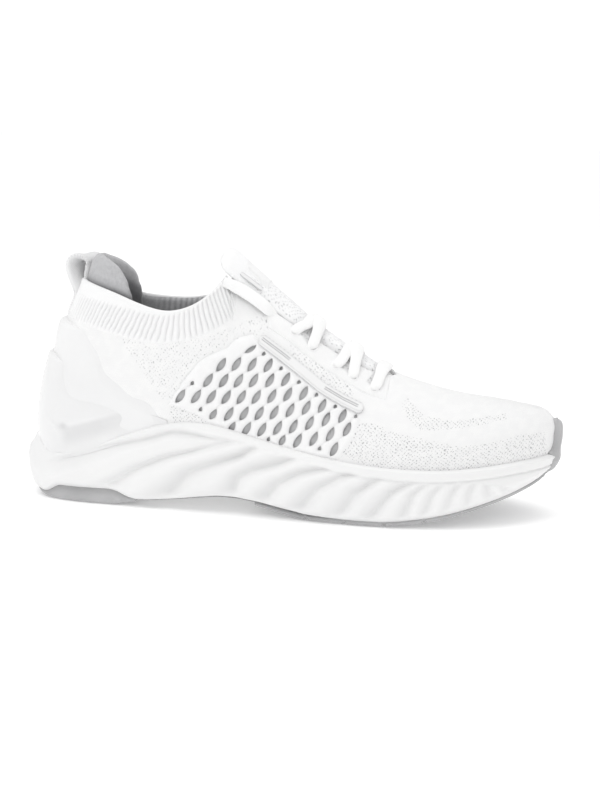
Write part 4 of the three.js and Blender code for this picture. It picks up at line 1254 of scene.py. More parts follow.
def waves(x, y):
    """Height 0..1 of the waves, and the painted shade of a place: on the shaded under face and in
    the trough.
    """
    past = [past_line(x, y, trough) for trough in TROUGHS]
    height = np.zeros(np.shape(x))
    shade = np.zeros(np.shape(x))
    taken = np.zeros(np.shape(x), bool)
    rise = 0.42                     # share of a wave that climbs
    for i, after in enumerate(past):
        before = -past[i + 1] if i + 1 < len(past) else np.full(np.shape(x), 20.0)
        here = (after >= 0) & (before > 0)
        phase = after / np.maximum(after + before, 1e-6)
        shape = np.where(phase < rise, np.sin(phase / rise * pi / 2) ** 1.2,
                         np.cos((phase - rise) / (1 - rise) * pi / 2) ** 0.9)
        size = np.clip((after + before) / 8.0, 0.3, 1.0)
        wave = shape * size
        if i == 0:                  # the first wave is broad and flat-topped
            wave = wave * 0.8
            wave = np.where(phase > 0.3, np.maximum(wave, 0.75 * size), wave)
        dark = (ease(0.38, 0.95, phase) if i > 0 else ease(0.70, 0.97, phase)) * size
        dark = dark + (1 - ease(0.0, 0.10, phase)) * 0.4 * size
        pick = here & ~taken
        height = np.where(pick, wave, height)
        shade = np.where(pick, dark, shade)
        taken |= here
    behind = -past[0]
    return (np.where(behind > 0, 0.55 * ease(0, 3, behind), height),
            np.where(behind > 0, 0.65 * (1 - ease(0, 2, behind)), shade))


def plain_wall(line):
    """Side wall of the foam before relief, and its outward normals."""
    rim = rim_height(line)
    levels = [sole_outline(line, -5.0), sole_outline(line, -1.4), sole_outline(line, 0.0)]
    top = wall_at(line, rim, 3.0)
    levels.append(sole_outline(line, -0.6) * 0.6 + top * 0.4)
    levels[0][:, 2] = foam_bottom(levels[0][:, 0])
    bottom = foam_bottom(levels[1][:, 0])
    levels[1][:, 2] = bottom + np.minimum(2.8, 0.2 * (rim - bottom))
    for level, share in ((levels[2], 0.42), (levels[3], 0.72)):
        bottom = foam_bottom(level[:, 0] - 2.0)
        level[:, 2] = bottom + share * (rim - bottom)
    levels.append(top)
    net = np.stack([2 * levels[0] - levels[1], *levels, 2 * levels[-1] - levels[-2]], 1)
    place = np.linspace(0, 1, WALL_COLUMNS) * 4 * 0.9999
    cell = np.floor(place).astype(int)
    wall = cubic_columns(net, cell, place - cell)
    return wall, unit(np.cross(np.gradient(wall, axis=0), np.gradient(wall, axis=1)))


def wall_relief(line, wall):
    """Displacement of the foam wall and its painted shade."""
    twin = np.where((line < 0)[:, None, None], wall[::-1], wall)   # outer side of each place
    places = drawn(twin)
    x, y = places[..., 0], places[..., 1]
    patterned = (ease(-0.5, 2.5, y - lookup(WAVE_TOP, x)) * ease(0, 4.5, y[:, :1] - y)
                 * ease(22.5, 31, x) * (1 - ease(266.5, 274, x)))
    height, under_face = waves(x, y)
    depth = 4.9 * (1 - 0.40 * ease(190, 235, x)) * (1 - 0.2 * ease(250, 270, x))
    relief = patterned * (height - 0.62) * depth
    # the forefoot has a lip along the rim with a groove under it
    below_rim = rim_height(line)[:, None] - wall[..., 2]
    fore = ease(11.2, 13.0, station(line))[:, None]
    relief += fore * (0.75 * (1 - ease(3.5, 4.3, below_rim)) - 0.55 * bell(below_rim - 4.6, 0.5))
    # painted shade: the waves' under faces, a faint darkening of the plain forefoot wall, and the
    # groove under the lip
    shade = (patterned * (0.43 * under_face) * (1 - 0.25 * fore) + 0.04 * (1 - patterned) * fore
             + fore * 0.34 * bell(below_rim - 4.7, 0.45))
    relief = blur(blur(relief, 1.3), 1.1, axis=1)
    relief[0] = relief[-1] = (relief[0] + relief[-1]) / 2          # close at the toe
    return relief, blur(blur(shade, 1.6), 1.0, axis=1)


def build_midsole():
    """Returns the finished wall and its normals, for the toe guard."""
    line = SOLE_LINE
    wall, normals = plain_wall(line)
    relief, shade = wall_relief(line, wall)
    wall = wall + normals * relief[..., None]
    # fillet from the rim on to the knit, then down inside to the bed
    rim_outer = wall[:, -1]
    rim_inner = wall_at(line, rim_height(line) + 1.3, -0.3)
    fillet = []
    for share in (0.12, 0.3, 0.5, 0.7, 0.86):
        ring = rim_outer * (1 - share) + rim_inner * share
        ring[:, 2] += 0.45 * math.sin(pi * share) ** 0.8
        fillet.append(ring)
    bed = offset(line, 0.01, 0.35)
    bed[:, 2] = bed_height(line)
    inside = np.stack([*fillet, rim_inner, rim_inner * 0.5 + bed * 0.5, bed], 1)
    levels = np.concatenate([wall, inside], 1)
    points, quads = loft(levels, cap_columns=10)
    # painted shadow: a dark line along the lower edge of the arch, between the two rubber pieces
    x = wall[..., 0]
    above_edge = wall[..., 2] - wall[:, :1, 2]
    dark = (0.95 * (1 - ease(0.55, 1.25, above_edge / np.maximum(lookup(ARCH_SHADOW_LINE, x), 0.05)))
            * ease(64, 76, x) * (1 - ease(165, 195, x)))
    attrs = {}
    for key, values in (("painted_shade_and_ribs", shade), ("painted_dark_shade", dark)):
        on_levels = np.zeros(levels.shape[:2])
        on_levels[:, :WALL_COLUMNS] = values
        attrs[key] = np.zeros(len(points))
        attrs[key][:on_levels.size] = on_levels.ravel()
    midsole = add_mesh("midsole", points, quads, attrs, merge=0.03)
    finish(midsole, FOAM, "midsole_foam", "flex", "midsole_rear", "midsole_forefoot")
    return wall, normals


# ---- rubber outsole ----------------------------------------------------------------------
TREAD_INSET = -5.1
# x, greatest thickness of the rubber
TREAD_THICKNESS = [[205,99], [215,6], [225,3.4], [245,2.1], [270,1.9], [300,2.2]]


def tread_edge(x, start):
    """y of the tread's edge from the ring place start round to the toe."""
    edge = sole_outline(np.linspace(start, STATIONS, 600), TREAD_INSET)
    return np.interp(x, edge[:, 0], edge[:, 1])


def tread(name, x_start, x_end, rounding, chevrons, cross_grooves=(), centre_depth=0.0,
          rows=220, columns=110):
    """chevrons: start, pitch, depth; cross_grooves: x, depth, sweep at 40 mm out."""
    share = np.linspace(0, 1, rows)
    eased = 0.5 - 0.5 * np.cos(np.linspace(0, pi, rows))
    length = x_end - x_start
    line = x_start + length * eased * 0.35 + length * share * 0.65
    outer_y, inner_y = tread_edge(line, 0)[:, None], tread_edge(line, RING)[:, None]
    across = np.linspace(-1, 1, columns)
    across = np.sign(across) * (1 - (1 - np.abs(across)) ** 1.35)  # closer at the edges
    x = np.broadcast_to(line[:, None], (rows, columns))
    y = (outer_y + inner_y) / 2 + (inner_y - outer_y) / 2 * across[None, :]
    from_edge = np.minimum(np.minimum(x - x_start, x_end - x),
                           np.minimum(y - outer_y, inner_y - y))
    top = foam_bottom(x) - 0.05
    bottom = np.maximum(rubber_bottom(x), top - lookup(TREAD_THICKNESS, x))
    start, pitch, depth = chevrons
    ridge = np.abs(((x - start + 0.45 * np.abs(y)) / pitch) % 1 - 0.5)
    groove = depth * (1 - ease(0.16, 0.30, ridge)) * ease(3.5, 5.0, from_edge)
    for groove_x, depth, sweep in cross_grooves:
        distance = np.abs(x - groove_x - sweep * np.abs(y) / 40)
        groove = np.maximum(groove, depth * (1 - ease(0.5, 1.1, distance)))
    groove = np.maximum(groove, centre_depth * (1 - ease(0.5, 1.2, np.abs(y))))
    cut = rounding * (1 - round_edge(from_edge / 1.4)) + groove
    cut = np.minimum(cut, np.maximum(top - bottom - 0.7, 0.05))
    bottom = np.minimum(bottom + cut, top - 0.3)
    return shell(name, np.stack([x, y, top], -1), np.stack([x, y, bottom], -1), merge=0.002)


def build_treads():
    heel = tread("heel_tread", 3.5, 69.5, rounding=0.9, chevrons=(10, 7.5, 1.3))
    finish(heel, RUBBER, "outsole_rubber", "rearfoot", "outsole_heel")
    fore = tread("forefoot_tread", 135.5, 289.6, rounding=0.35, chevrons=(140, 7.0, 0.9),
                 cross_grooves=[(160, 1.6, 4), (181, 1.6, 4), (202, 1.7, 4), (223, 1.6, 4),
                                (244, 1.6, 3)], centre_depth=1.3, rows=300)
    finish(fore, RUBBER, "outsole_rubber", "flex", "outsole_ball", "outsole_toe")


# stations from the toe, height of the toe guard
GUARD_TOP = [[0,53.3], [0.16,53.0], [0.28,52.0], [0.37,50.0], [0.43,47.2], [0.48,43.0],
             [0.53,38.8], [0.63,36.3], [0.95,35.8]]


def build_toe_guard(wall, normals):
    """Rubber that wraps the tip of the foam and climbs the knit."""
    reach = 20                      # places of the sole line on each side of the toe
    count = len(SOLE_LINE)
    places = list(range(count - reach, count)) + list(range(1, reach))
    columns = list(range(3, 80, 5)) + [WALL_COLUMNS - 1]
    line = np.concatenate([SOLE_LINE[count - reach:], SOLE_LINE[1:reach] + RING])
    foam = wall[places][:, columns]
    foam_normal = normals[places][:, columns]
    from_toe = np.abs(line - STATIONS)
    bottom = rim_height(line) + 2.6
    top = np.maximum(blur(lookup(GUARD_TOP, from_toe), 1.0), bottom + 0.4)
    z = between(bottom, top, np.linspace(0, 1, 34))
    around = np.broadcast_to(line[:, None], z.shape)
    knit = wall_at(around, z, 0.0)
    knit_normal = normal(around, np.maximum(0, up_at_height(around, z)))
    ends = round_edge((line[-1] - STATIONS - from_toe) / 0.3)[:, None]
    upper_fade = (round_edge((top[:, None] - z) / 3.0) * ends
                  * (1 - 0.45 * ease(0.5, 0.85, from_toe))[:, None])
    lower_fade = ease(-0.5, 2.5, np.arange(len(columns)))[None, :] * ends
    outer = np.concatenate([foam + foam_normal * (-0.3 + 2.3 * lower_fade)[..., None],
                            knit + knit_normal * (-0.3 + 4.4 * upper_fade)[..., None]], 1)
    inner = np.concatenate([foam - foam_normal * 0.7, knit - knit_normal * 0.8], 1)
    outer[:, 1:-2] = blur(outer, 2.4, axis=1)[:, 1:-2]
    guard = shell("toe_guard_rubber", outer, inner)
    finish(guard, RUBBER, "outsole_rubber", "forefoot", "toe_guard")


# ---- strobel board and sockliner ---------------------------------------------------------
def build_plate(name, rings, material, slot, *nodes):
    """Plate on the bed; rings: inset, lift, share of the heel cup's extra height."""
    line = np.linspace(-STATIONS, STATIONS, 337)
    cup = 4.5 * (1 - ease(9, 13, station(line)))
    levels = []
    for inset, lift, cup_share in rings:
        ring = offset(line, 0.01, -inset)
        ring[..., 2] = bed_height(line) + lift + cup * cup_share
        levels.append(ring)
    points, quads = loft(np.stack(levels, 1), cap_columns=16)
    plate = add_mesh(name, points, quads, {"kuv": weave(points[:, 0], points[:, 1])},
                     merge=0.03)
    finish(plate, material, slot, "flex", *nodes)


def build_insoles():
    build_plate("strobel_board", [(2.9, 0.4, 0), (2.7, 1.0, 0), (2.9, 1.6, 0)],
                BOARD, "board", "strobel_board_rear", "strobel_board_forefoot")
    build_plate("sockliner", [(4.9, 2.0, 0), (4.4, 3.0, 0), (4.5, 5.0, 1), (5.0, 5.5, 1),
                              (6.0, 5.3, 0.8), (9.0, 5.0, 0.2)],
                SOCK, "sockliner", "sockliner_rear", "sockliner_forefoot")


# ---- mesh window with slanted holes, and its backing -------------------------------------
# Hole groups on the drawing plane: half length, half width, angle (None: leans with x) and
# centres.
HOLE_GROUPS = [
    (3.5, 1.15, math.radians(34), [(125.223214,174.349490)]),
    (4.1, 1.625, None, [
        (110.475128,182.321429), (118.048469,181.922832), (125.860969,182.161990),
        (133.992347,182.480867), (103.858418,190.133929), (111.670918,190.293367),
        (119.084821,190.293367), (126.658163,190.133929), (134.789541,190.054209),
        (142.761480,189.496173), (89.987245,198.105867), (97.879464,198.265306),
        (105.452806,198.424745), (112.866709,198.584184), (120.440051,198.584184),
        (127.933673,198.424745), (135.746173,198.026148), (143.718112,197.069515),
        (151.690051,196.431760), (114.221939,207.034439), (121.795281,206.795281),
        (129.368622,206.635842), (136.862245,206.237245), (144.834184,205.041454),
        (152.965561,203.686224), (160.937500,202.649872), (122.991071,214.607781),
        (130.644133,214.846939), (138.536352,213.970026), (146.428571,213.172832),
        (154.559949,211.419005), (162.850765,209.426020), (171.141582,207.592474),
        (148.501276,220.427296), (156.632653,219.390944), (164.923469,216.999362),
        (173.373724,214.368622), (166.836735,224.572704)]),
    (3.1, 1.5, None, [
        (106.329719,207.193878), (115.656888,213.651148), (140.768495,220.188138)]),
    (1.2, 0.9, None, [
        (131.760204,176.581633), (95.886480,191.489158), (140.369898,183.915816),
        (149.298469,190.691964), (100.031888,204.642857), (158.067602,197.069515),
        (167.474490,202.889031), (133.832908,219.630102), (177.838010,207.592474),
        (159.502551,224.174107)])]


def hole_angle(x):
    """Holes stand steeper towards the front."""
    return math.radians(55 + 9 * min(max((x - 100) / 75, 0), 1))


HOLES = [(x, y, half_length, half_width, hole_angle(x) if angle is None else angle)
         for half_length, half_width, angle, centres in HOLE_GROUPS for x, y in centres]


def creases():
    """Short valleys from the lower tip of one hole to the upper tip of the next."""
    tops, bottoms = [], []
    for x, y, half_length, _, angle in HOLES:
        dx, dy = math.cos(angle) * half_length, math.sin(angle) * half_length
        tops.append((x + dx, y - dy))
        bottoms.append((x - dx, y + dy))

    def gap(start, end):
        return math.hypot(end[0] - start[0], end[1] - start[1])

    found = []
    for start in bottoms:
        # tips that lie higher than the start are ruled out
        end = min(tops, key=lambda tip: gap(start, tip) + (99 if tip[1] < start[1] - 0.5 else 0))
        if gap(start, end) < 4.75:
            found.append((start, end))
    return found


def hole_distance(x, y):
    """Distance to the nearest hole's edge, negative inside it."""
    nearest = np.full(np.shape(x), 25.0)
    for hole_x, hole_y, half_length, half_width, angle in HOLES:
        dx, dy = x - hole_x, -(y - hole_y)
        near = (np.abs(dx) < 8) & (np.abs(dy) < 8)
        if not near.any():
            continue
        dx, dy = dx[near], dy[near]
        along = dx * math.cos(angle) + dy * math.sin(angle)
        across = -dx * math.sin(angle) + dy * math.cos(angle)
        share = np.clip(along / half_length, -1, 1)
        width = half_width * np.maximum(1 - share ** 2, 0) ** 0.78 * (1 - 0.10 * share)
        across = across + 0.25 * (1 - share ** 2)              # the lower side bellies out
        distance = np.where(np.abs(along) < half_length, (np.abs(across) - width) * 0.86,
                            np.hypot(np.abs(along) - half_length, across))
        nearest[near] = np.minimum(nearest[near], distance)
    return nearest


def corner_mean(grid):
    return (grid[1:, 1:] + grid[:-1, 1:] + grid[1:, :-1] + grid[:-1, :-1]) / 4


def build_windows():
    step = 0.275
    grid_x, grid_y = np.meshgrid(np.arange(81, 185.5, step), np.arange(164, 233, step),
                                 indexing="ij")
    # grid points close to a hole's edge are moved on to it
    distance = hole_distance(grid_x, grid_y)
    slope_x, slope_y = np.gradient(distance, step, step)
    steepness = np.maximum(slope_x ** 2 + slope_y ** 2, 0.05)
    near = np.abs(distance) < 0.21
    x = np.where(near, grid_x - distance * slope_x / steepness, grid_x)
    y = np.where(near, grid_y - distance * slope_y / steepness, grid_y)
    from_hole = hole_distance(x, y)
    from_frame = inside_distance(x, y, WINDOW)
    around, up = traced_grid(x, y, lift=0.8)
    keep = (corner_mean(from_hole) > 0.0) & (corner_mean(from_frame) > -0.5)

    from_crease = np.full(x.shape, 99.0)
    for (ax, ay), (bx, by) in creases():
        near = (np.abs(x - (ax + bx) / 2) < 7) & (np.abs(y - (ay + by) / 2) < 7)
        from_crease[near] = np.minimum(from_crease[near], segment_distance(
            x[near], y[near], [(ax, ay), (bx, by)], closed=False))
    crease = bell(from_crease, 0.55)
    outside_hole = np.maximum(from_hole, 0)
    height = 0.25 + 1.35 * (1 - np.exp(-outside_hole / 0.95)) - 0.5 * crease
    height = height * ease(0.0, 3.25, from_frame) - 0.25 * (1 - ease(-0.4, 1.5, from_frame))
    height = blur(blur(height, 0.7), 0.7, axis=1)
    # painted shade in the creases and close round the holes
    shade = (0.22 * crease + 0.12 * np.exp(-outside_hole / 0.4)) * ease(0, 1.5, from_frame)
    attrs = {"kuv": fabric_place(around, up), "painted_shade_and_ribs": shade,
             "pin": pin_strength(x, y) * (1 - ease(-0.25, 2.75, from_frame))}

    coarse = (slice(None, None, 4), slice(None, None, 4))
    back_x, back_y = grid_x[coarse], grid_y[coarse]
    back_keep = inside_distance(back_x, back_y, WINDOW)
    back_keep = (back_keep[1:, 1:] > 0.3) & (back_keep[:-1, :-1] > 0.3)
    back_height = -1.15 + 0.25 * np.sin(back_x / 1.55) * np.sin(back_y / 1.35)
    back_weave = weave(back_x * 1.1, back_y * 1.1)
    for side, side_name in SIDES:
        mesh = skin("mesh_window_" + side_name, side * around, up, height,
                    np.minimum(height - 1.0, -0.45), keep=keep, attrs=attrs)
        finish(mesh, KNIT_PUFFY, "open_mesh", "flex", "mesh_panel_" + side_name)
        backing = skin("window_backing_" + side_name, side * around[coarse], up[coarse],
                       back_height, -1.55, keep=back_keep, attrs={"kuv": back_weave})
        finish(backing, BACKING, "lining", "flex", "panel_lining_" + side_name)


# ---- trim strips over the top edge of each window ----------------------------------------
TRIM_LINE = [(129.5,168.25), (141.5,177.25), (152.5,186), (161,193.25), (171.5,199.5),
             (181.75,204.5)]
TRIM_HALF_WIDTH = 3.0


def build_trims():
    corners = np.array(TRIM_LINE)
    corner_lengths = lengths_along(corners)
    length = np.linspace(0, corner_lengths[-1], 260)
    middle = np.stack([np.interp(length, corner_lengths, corners[:, i]) for i in (0, 1)], -1)
    middle = blur(middle, 3)
    tangent = np.gradient(middle, axis=0)
    tangent /= np.linalg.norm(tangent, axis=1, keepdims=True)
    from_end = np.minimum(length, length[-1] - length)
    half_width = TRIM_HALF_WIDTH * round_edge(from_end / TRIM_HALF_WIDTH)
    half_width = np.maximum(half_width, 0.025)[:, None]
    share = np.linspace(-1, 1, 41)[None, :]
    across = half_width * share
    around, up = traced_grid(middle[:, :1] - tangent[:, 1:] * across,
                             middle[:, 1:] + tangent[:, :1] * across, lift=1.6)
    from_edge = half_width * (1 - np.abs(share))
    length = np.broadcast_to(length[:, None], across.shape)
    # a line inside the edge, a row of pits along one edge, and two pairs of slots, all painted
    # darker as shade; the very edge takes painted shade too
    line = bell(from_edge - 0.95, 0.2)
    groove, shade = 0.30 * line, 0.25 * line
    pits = bell(across + 2.55, 0.275) * (0.5 + 0.5 * np.cos(2 * pi * length / 2.35)) ** 2
    for start, end in ((1.5, 19.5), (41.5, 61.0)):
        slot = ease(start, start + 0.6, length) * (1 - ease(end - 0.6, end, length))
        for centre in (-0.75, 0.225):
            cut = slot * bell(across - centre, 0.18)
            groove = np.maximum(groove, 0.7 * cut)
            shade = np.maximum(shade, cut)
    height = 0.45 + 1.25 * round_edge(from_edge / 0.65) - groove - 0.35 * pits
    shade = np.clip(0.95 * shade + 0.35 * bell(from_edge, 0.25) + 0.8 * pits, 0, 1)
    attrs = {"kuv": weave(2 * length, 2 * across), "painted_shade_and_ribs": shade}
    for side, side_name in SIDES:
        strip = skin("trim_strip_moulded_" + side_name, side * around, up, height, -0.3,
                     attrs=attrs)
        finish(strip, STRIP, "tpu_film", "flex", "trim_strip_" + side_name)


# ---- eyestays ----------------------------------------------------------------------------
# station, up value; from the ankle forwards
EYELETS = np.array([(11.34, 0.841), (11.88, 0.827), (12.58, 0.812), (13.08, 0.797),
                    (13.66, 0.775)])
EYELET_RADIUS = 1.55
# Sunk triangles between the eyelets, as drawn corners.
TRIANGLES = np.array([
    ((157.5,157), (148.5,165), (155,174)),
    ((175.5,173.5), (167.5,181), (174.25,187)),
    ((188.5,184.5), (183,191), (187.5,195))])


def eyelet_line(stations):
    return np.interp(stations, EYELETS[:, 0], EYELETS[:, 1])


def triangle_depth(x, y):
    depth = np.zeros(x.shape)
    for corners in TRIANGLES:
        inside = np.full(x.shape, 1e9)
        for start, end in zip(corners, np.roll(corners, -1, 0)):
            edge = (end - start) / np.linalg.norm(end - start)
            inside = np.minimum(inside, (x - start[0]) * edge[1] - (y - start[1]) * edge[0])
        depth = np.maximum(depth, ease(-0.5, 0.75, inside))
    return depth


def build_eyestay(side, side_name):
    stations = np.linspace(10.55, 14.05, 240)
    rows = np.linspace(0, 1, 60)
    throat = blur(throat_width(np.minimum(stations, 13.95)) + 0.7, 3)
    up = between(eyelet_line(stations) - 0.055, up_at_width(side * stations, throat), rows)
    around = np.broadcast_to(side * stations[:, None], up.shape)
    surface = point(around, up)
    from_eyelet = np.full(up.shape, 9.0)
    for eye_station, eye_up in EYELETS:
        centre = point(side * eye_station, eye_up)
        distance = np.linalg.norm(surface - centre, axis=-1) - EYELET_RADIUS
        from_eyelet = np.minimum(from_eyelet, distance)
    width = np.linalg.norm(surface[:, -1] - surface[:, 0], axis=-1)[:, None]
    from_end = np.minimum(stations - stations[0], stations[-1] - stations)[:, None] * 20
    edge = np.minimum(rows * width, from_end)
    height = (-0.1 + 0.55 * ease(0, 0.7, edge) - 0.12 * bell(edge - 2.0, 0.35)
              + 0.5 * bell(from_eyelet - 0.5, 0.45))
    places = drawn(point(side * around, up))
    sunk = triangle_depth(places[..., 0], places[..., 1]) * ease(0.4, 1.2, from_eyelet)
    pins = np.maximum(0.12 * ease(0.5, 2, from_eyelet), sunk)
    # the sunk triangles are painted darker, as shade in the recess
    band = skin("eyestay_band_" + side_name, around, up, height - 0.25 * sunk,
                np.minimum(height - 0.9, -0.7), keep=corner_mean(from_eyelet) > 0,
                attrs={"kuv": fabric_place(around, up), "pin": pins, "painted_shade_and_ribs": 0.55 * sunk})
    finish(band, KNIT, "eyestay", "flex", "eyestay_" + side_name)


# ---- tongue ------------------------------------------------------------------------------
# Cross sections up the tongue: x, z, half width, half thickness, droop of the edges per mm².
TONGUE_SECTIONS = np.array([
    [173,86.5,10.0,1.3,.036], [165,93.4,10.8,1.7,.038], [157,100.4,11.6,2.4,.042],
    [148.5,107.4,12.0,2.9,.044], [141,113.2,12.3,3.1,.042], [131,121.0,12.8,3.3,.036],
    [122.5,127.6,13.8,3.6,.034], [117.5,131.6,15.0,3.8,.030], [113.9,134.4,16.0,3.9,.025],
    [112.0,135.9,16.0,3.4,.022], [110.9,136.8,15.2,2.5,.020], [110.4,137.2,13.5,1.2,.016]])
WIDTH_POWER, THICKNESS_POWER = 0.8, 0.72    # roundness of the section
EDGE_THINNING, DROOP_SLANT = 0.10, 0.12
LABEL_UP = np.array([0.55, 0, 0.78])        # way off the tongue's face, roughly


def tongue_sections():
    """Smooth sections, the length along them and their normals in x and z."""
    knots = lengths_along(TONGUE_SECTIONS[:, :2])
    length = np.linspace(0, knots[-1], 150)
    cell = np.clip(np.searchsorted(knots, length, side="right") - 1, 0, len(knots) - 2)
    fraction = (length - knots[cell]) / (knots[cell + 1] - knots[cell])
    sections = blur(cubic_rows(TONGUE_SECTIONS, cell, fraction), 1.5)
    slope_x, slope_z = np.gradient(sections[:, 0]), np.gradient(sections[:, 1])
    steps = np.hypot(slope_x, slope_z)
    return sections, length, np.stack([slope_z / steps, -slope_x / steps], -1)


SECTIONS, TONGUE_LENGTH, SECTION_NORMALS = tongue_sections()


def tongue_place(section, normals, y, rise):
    """Point at y across a section, rise mm off its middle line."""
    droop = section[..., 4] * y ** 2
    x = section[..., 0] + normals[..., 0] * rise + droop * DROOP_SLANT
    z = section[..., 1] + normals[..., 1] * rise - droop
    return np.stack([x, y + 0 * rise, z], -1)


def signed_power(values, power):
    return np.sign(values) * np.abs(values) ** power


TURN = np.linspace(0, 2 * pi, 97)[:-1]
ACROSS = signed_power(np.cos(TURN), WIDTH_POWER)
THROUGH = signed_power(np.sin(TURN), THICKNESS_POWER)
TONGUE_Y = SECTIONS[:, 2][:, None] * ACROSS[None, :]
TONGUE_RINGS = tongue_place(
    SECTIONS[:, None], SECTION_NORMALS[:, None], TONGUE_Y,
    SECTIONS[:, 3][:, None] * THROUGH * (1 - EDGE_THINNING * np.abs(ACROSS) ** 3))


def tongue_face(x, y, lift):
    """Point lift mm off the tongue's outer face, where its middle line is at x."""
    length = np.interp(-x, -SECTIONS[:, 0], TONGUE_LENGTH)
    row = np.interp(length, TONGUE_LENGTH, np.arange(len(SECTIONS)))
    i = np.clip(np.floor(row).astype(int), 0, len(SECTIONS) - 2)
    fraction = (row - i)[..., None]
    section = SECTIONS[i] * (1 - fraction) + SECTIONS[i + 1] * fraction
    normals = SECTION_NORMALS[i] * (1 - fraction) + SECTION_NORMALS[i + 1] * fraction
    share = np.clip(np.abs(y) / section[..., 2], 0, 1)
    cosine = share ** (1 / WIDTH_POWER)
    rise = np.sqrt(np.maximum(0, 1 - cosine * cosine)) ** THICKNESS_POWER
    rise = section[..., 3] * rise * (1 - EDGE_THINNING * share ** 3) + lift
    return tongue_place(section, normals, y, rise)


def tube_quads(n, m):
    """Quads of n rings of m points, closed at both ends by strips across."""
    i, j = np.meshgrid(np.arange(n - 1), np.arange(m), indexing="ij")
    i, j = i.ravel(), j.ravel()
    j_next = (j + 1) % m
    quads = [np.stack([i * m + j, i * m + j_next, (i + 1) * m + j_next, (i + 1) * m + j], 1)]
    for base in (0, (n - 1) * m):
        a = np.arange(m // 2 - 1)
        quads.append(base + np.stack([a, a + 1, m - 2 - a, m - 1 - a], 1))
        quads[-1][0, 3] = base + m - 1
    return np.concatenate(quads)


def build_tongue_mesh():
    pins = 0.85 * ease(117, 134, TONGUE_RINGS[..., 0]) * ease(0.1, 0.4, THROUGH)[None, :]
    cloth = weave(TONGUE_Y + 40, TONGUE_LENGTH[:, None])
    return add_mesh("tongue_pad", TONGUE_RINGS, tube_quads(*TONGUE_RINGS.shape[:2]),
                    {"kuv": cloth.reshape(-1, 3), "pin": pins.ravel()}, merge=0.01)


def finish_tongue(tongue):
    finish(tongue, TONGUE_MESH, "tongue_mesh", None, "tongue_tip")
    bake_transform(tongue)


# ---- stuffing by cloth simulation --------------------------------------------------------
SIM_SCALE = 10                      # the cloth is simulated ten times life size
SIM_MM = 0.001 * SIM_SCALE          # one millimetre at that size


def read_points(vertices):
    flat = np.zeros(len(vertices) * 3, np.float32)
    vertices.foreach_get("co", flat)
    return flat.reshape(-1, 3).astype(float)


def inflate(cloth, pressure, frames):
    """Blow the object up as cloth; returns its points at the last frame."""
    scene = bpy.context.scene
    modifier = cloth.modifiers.new("C", "CLOTH")
    settings = modifier.settings
    settings.quality = 6
    settings.mass = 0.3
    settings.use_pressure = True
    settings.uniform_pressure_force = pressure
    settings.effector_weights.gravity = 0.0
    settings.tension_stiffness = 18.0
    settings.compression_stiffness = 18.0
    settings.shear_stiffness = 6
    settings.bending_stiffness = 0.6
    settings.shrink_min = -0.06
    settings.air_damping = 2.0
    settings.vertex_group_mass = "pin"
    modifier.collision_settings.use_collision = False
    modifier.collision_settings.use_self_collision = False
    modifier.point_cache.frame_start = 1
    modifier.point_cache.frame_end = frames
    for frame_number in range(1, frames + 1):
        scene.frame_set(frame_number)
    evaluated = cloth.evaluated_get(bpy.context.evaluated_depsgraph_get())
    blown = read_points(evaluated.data.vertices)
    scene.frame_set(1)
    return blown


def stuff(piece, voxel, pressure, frames, limit, held):
    """Inflate a remeshed copy of a padded piece and give the piece its movement.

    voxel and limit are in mm; held(points) says how firmly each point is pinned."""
    cloth = bpy.data.objects.new(piece.name + "_sim", piece.data.copy())
    bpy.context.scene.collection.objects.link(cloth)
    cloth.scale = (SIM_SCALE, SIM_SCALE, SIM_SCALE)
    bpy.context.view_layer.update()
    cloth.data.transform(cloth.matrix_world)
    cloth.matrix_world = Matrix.Identity(4)
    for selected in bpy.context.selected_objects:
        selected.select_set(False)
    bpy.context.view_layer.objects.active = cloth
    cloth.select_set(True)
    remesh = cloth.modifiers.new("R", "REMESH")
    remesh.mode = "VOXEL"
    remesh.voxel_size = voxel * SIM_MM
    bpy.ops.object.modifier_apply(modifier="R")

    rest = read_points(cloth.data.vertices)
    group = cloth.vertex_groups.new(name="pin")
    weights = held(rest / SIM_MM + np.array([HEEL_X, 0, 0]))
    for i in np.nonzero(weights > 0.01)[0]:
        group.add([int(i)], float(weights[i]), "REPLACE")
    moved = inflate(cloth, pressure, frames) - rest
    moved[~np.isfinite(moved).all(1)] = 0
    size = np.linalg.norm(moved, axis=1, keepdims=True)
    moved *= np.minimum(1, limit * SIM_MM / np.maximum(size, 1e-9))

    # each point of the piece follows the nearest points of the copy
    tree = KDTree(len(rest))
    for i, place in enumerate(rest):
        tree.insert(place, i)
    tree.balance()
    points = read_points(piece.data.vertices)
    for i, place in enumerate(points * SIM_SCALE):
        hits = tree.find_n(place, 12)
        shares = np.array([1 / (distance ** 2 + 1e-4) for _, _, distance in hits])
        pull = sum(moved[hit[1]] * share for hit, share in zip(hits, shares)) / shares.sum()
        points[i] += pull / SIM_SCALE
    piece.data.vertices.foreach_set("co", points.astype(np.float32).ravel())
    piece.data.update()
    bpy.data.objects.remove(cloth)


# ---- tongue base and label ---------------------------------------------------------------
# station, half width of the base
BASE_WIDTH = [[11.25,12.2], [12,14], [13.2,15.5], [13.8,14], [14.6,11]]
# station, distance of its middle from the last
BASE_RISE = [[11.25,-2.6], [11.7,-1.0], [12.1,0.8], [13.3,0.9], [13.75,-0.4], [14.1,-2.6],
             [14.6,-3.3]]


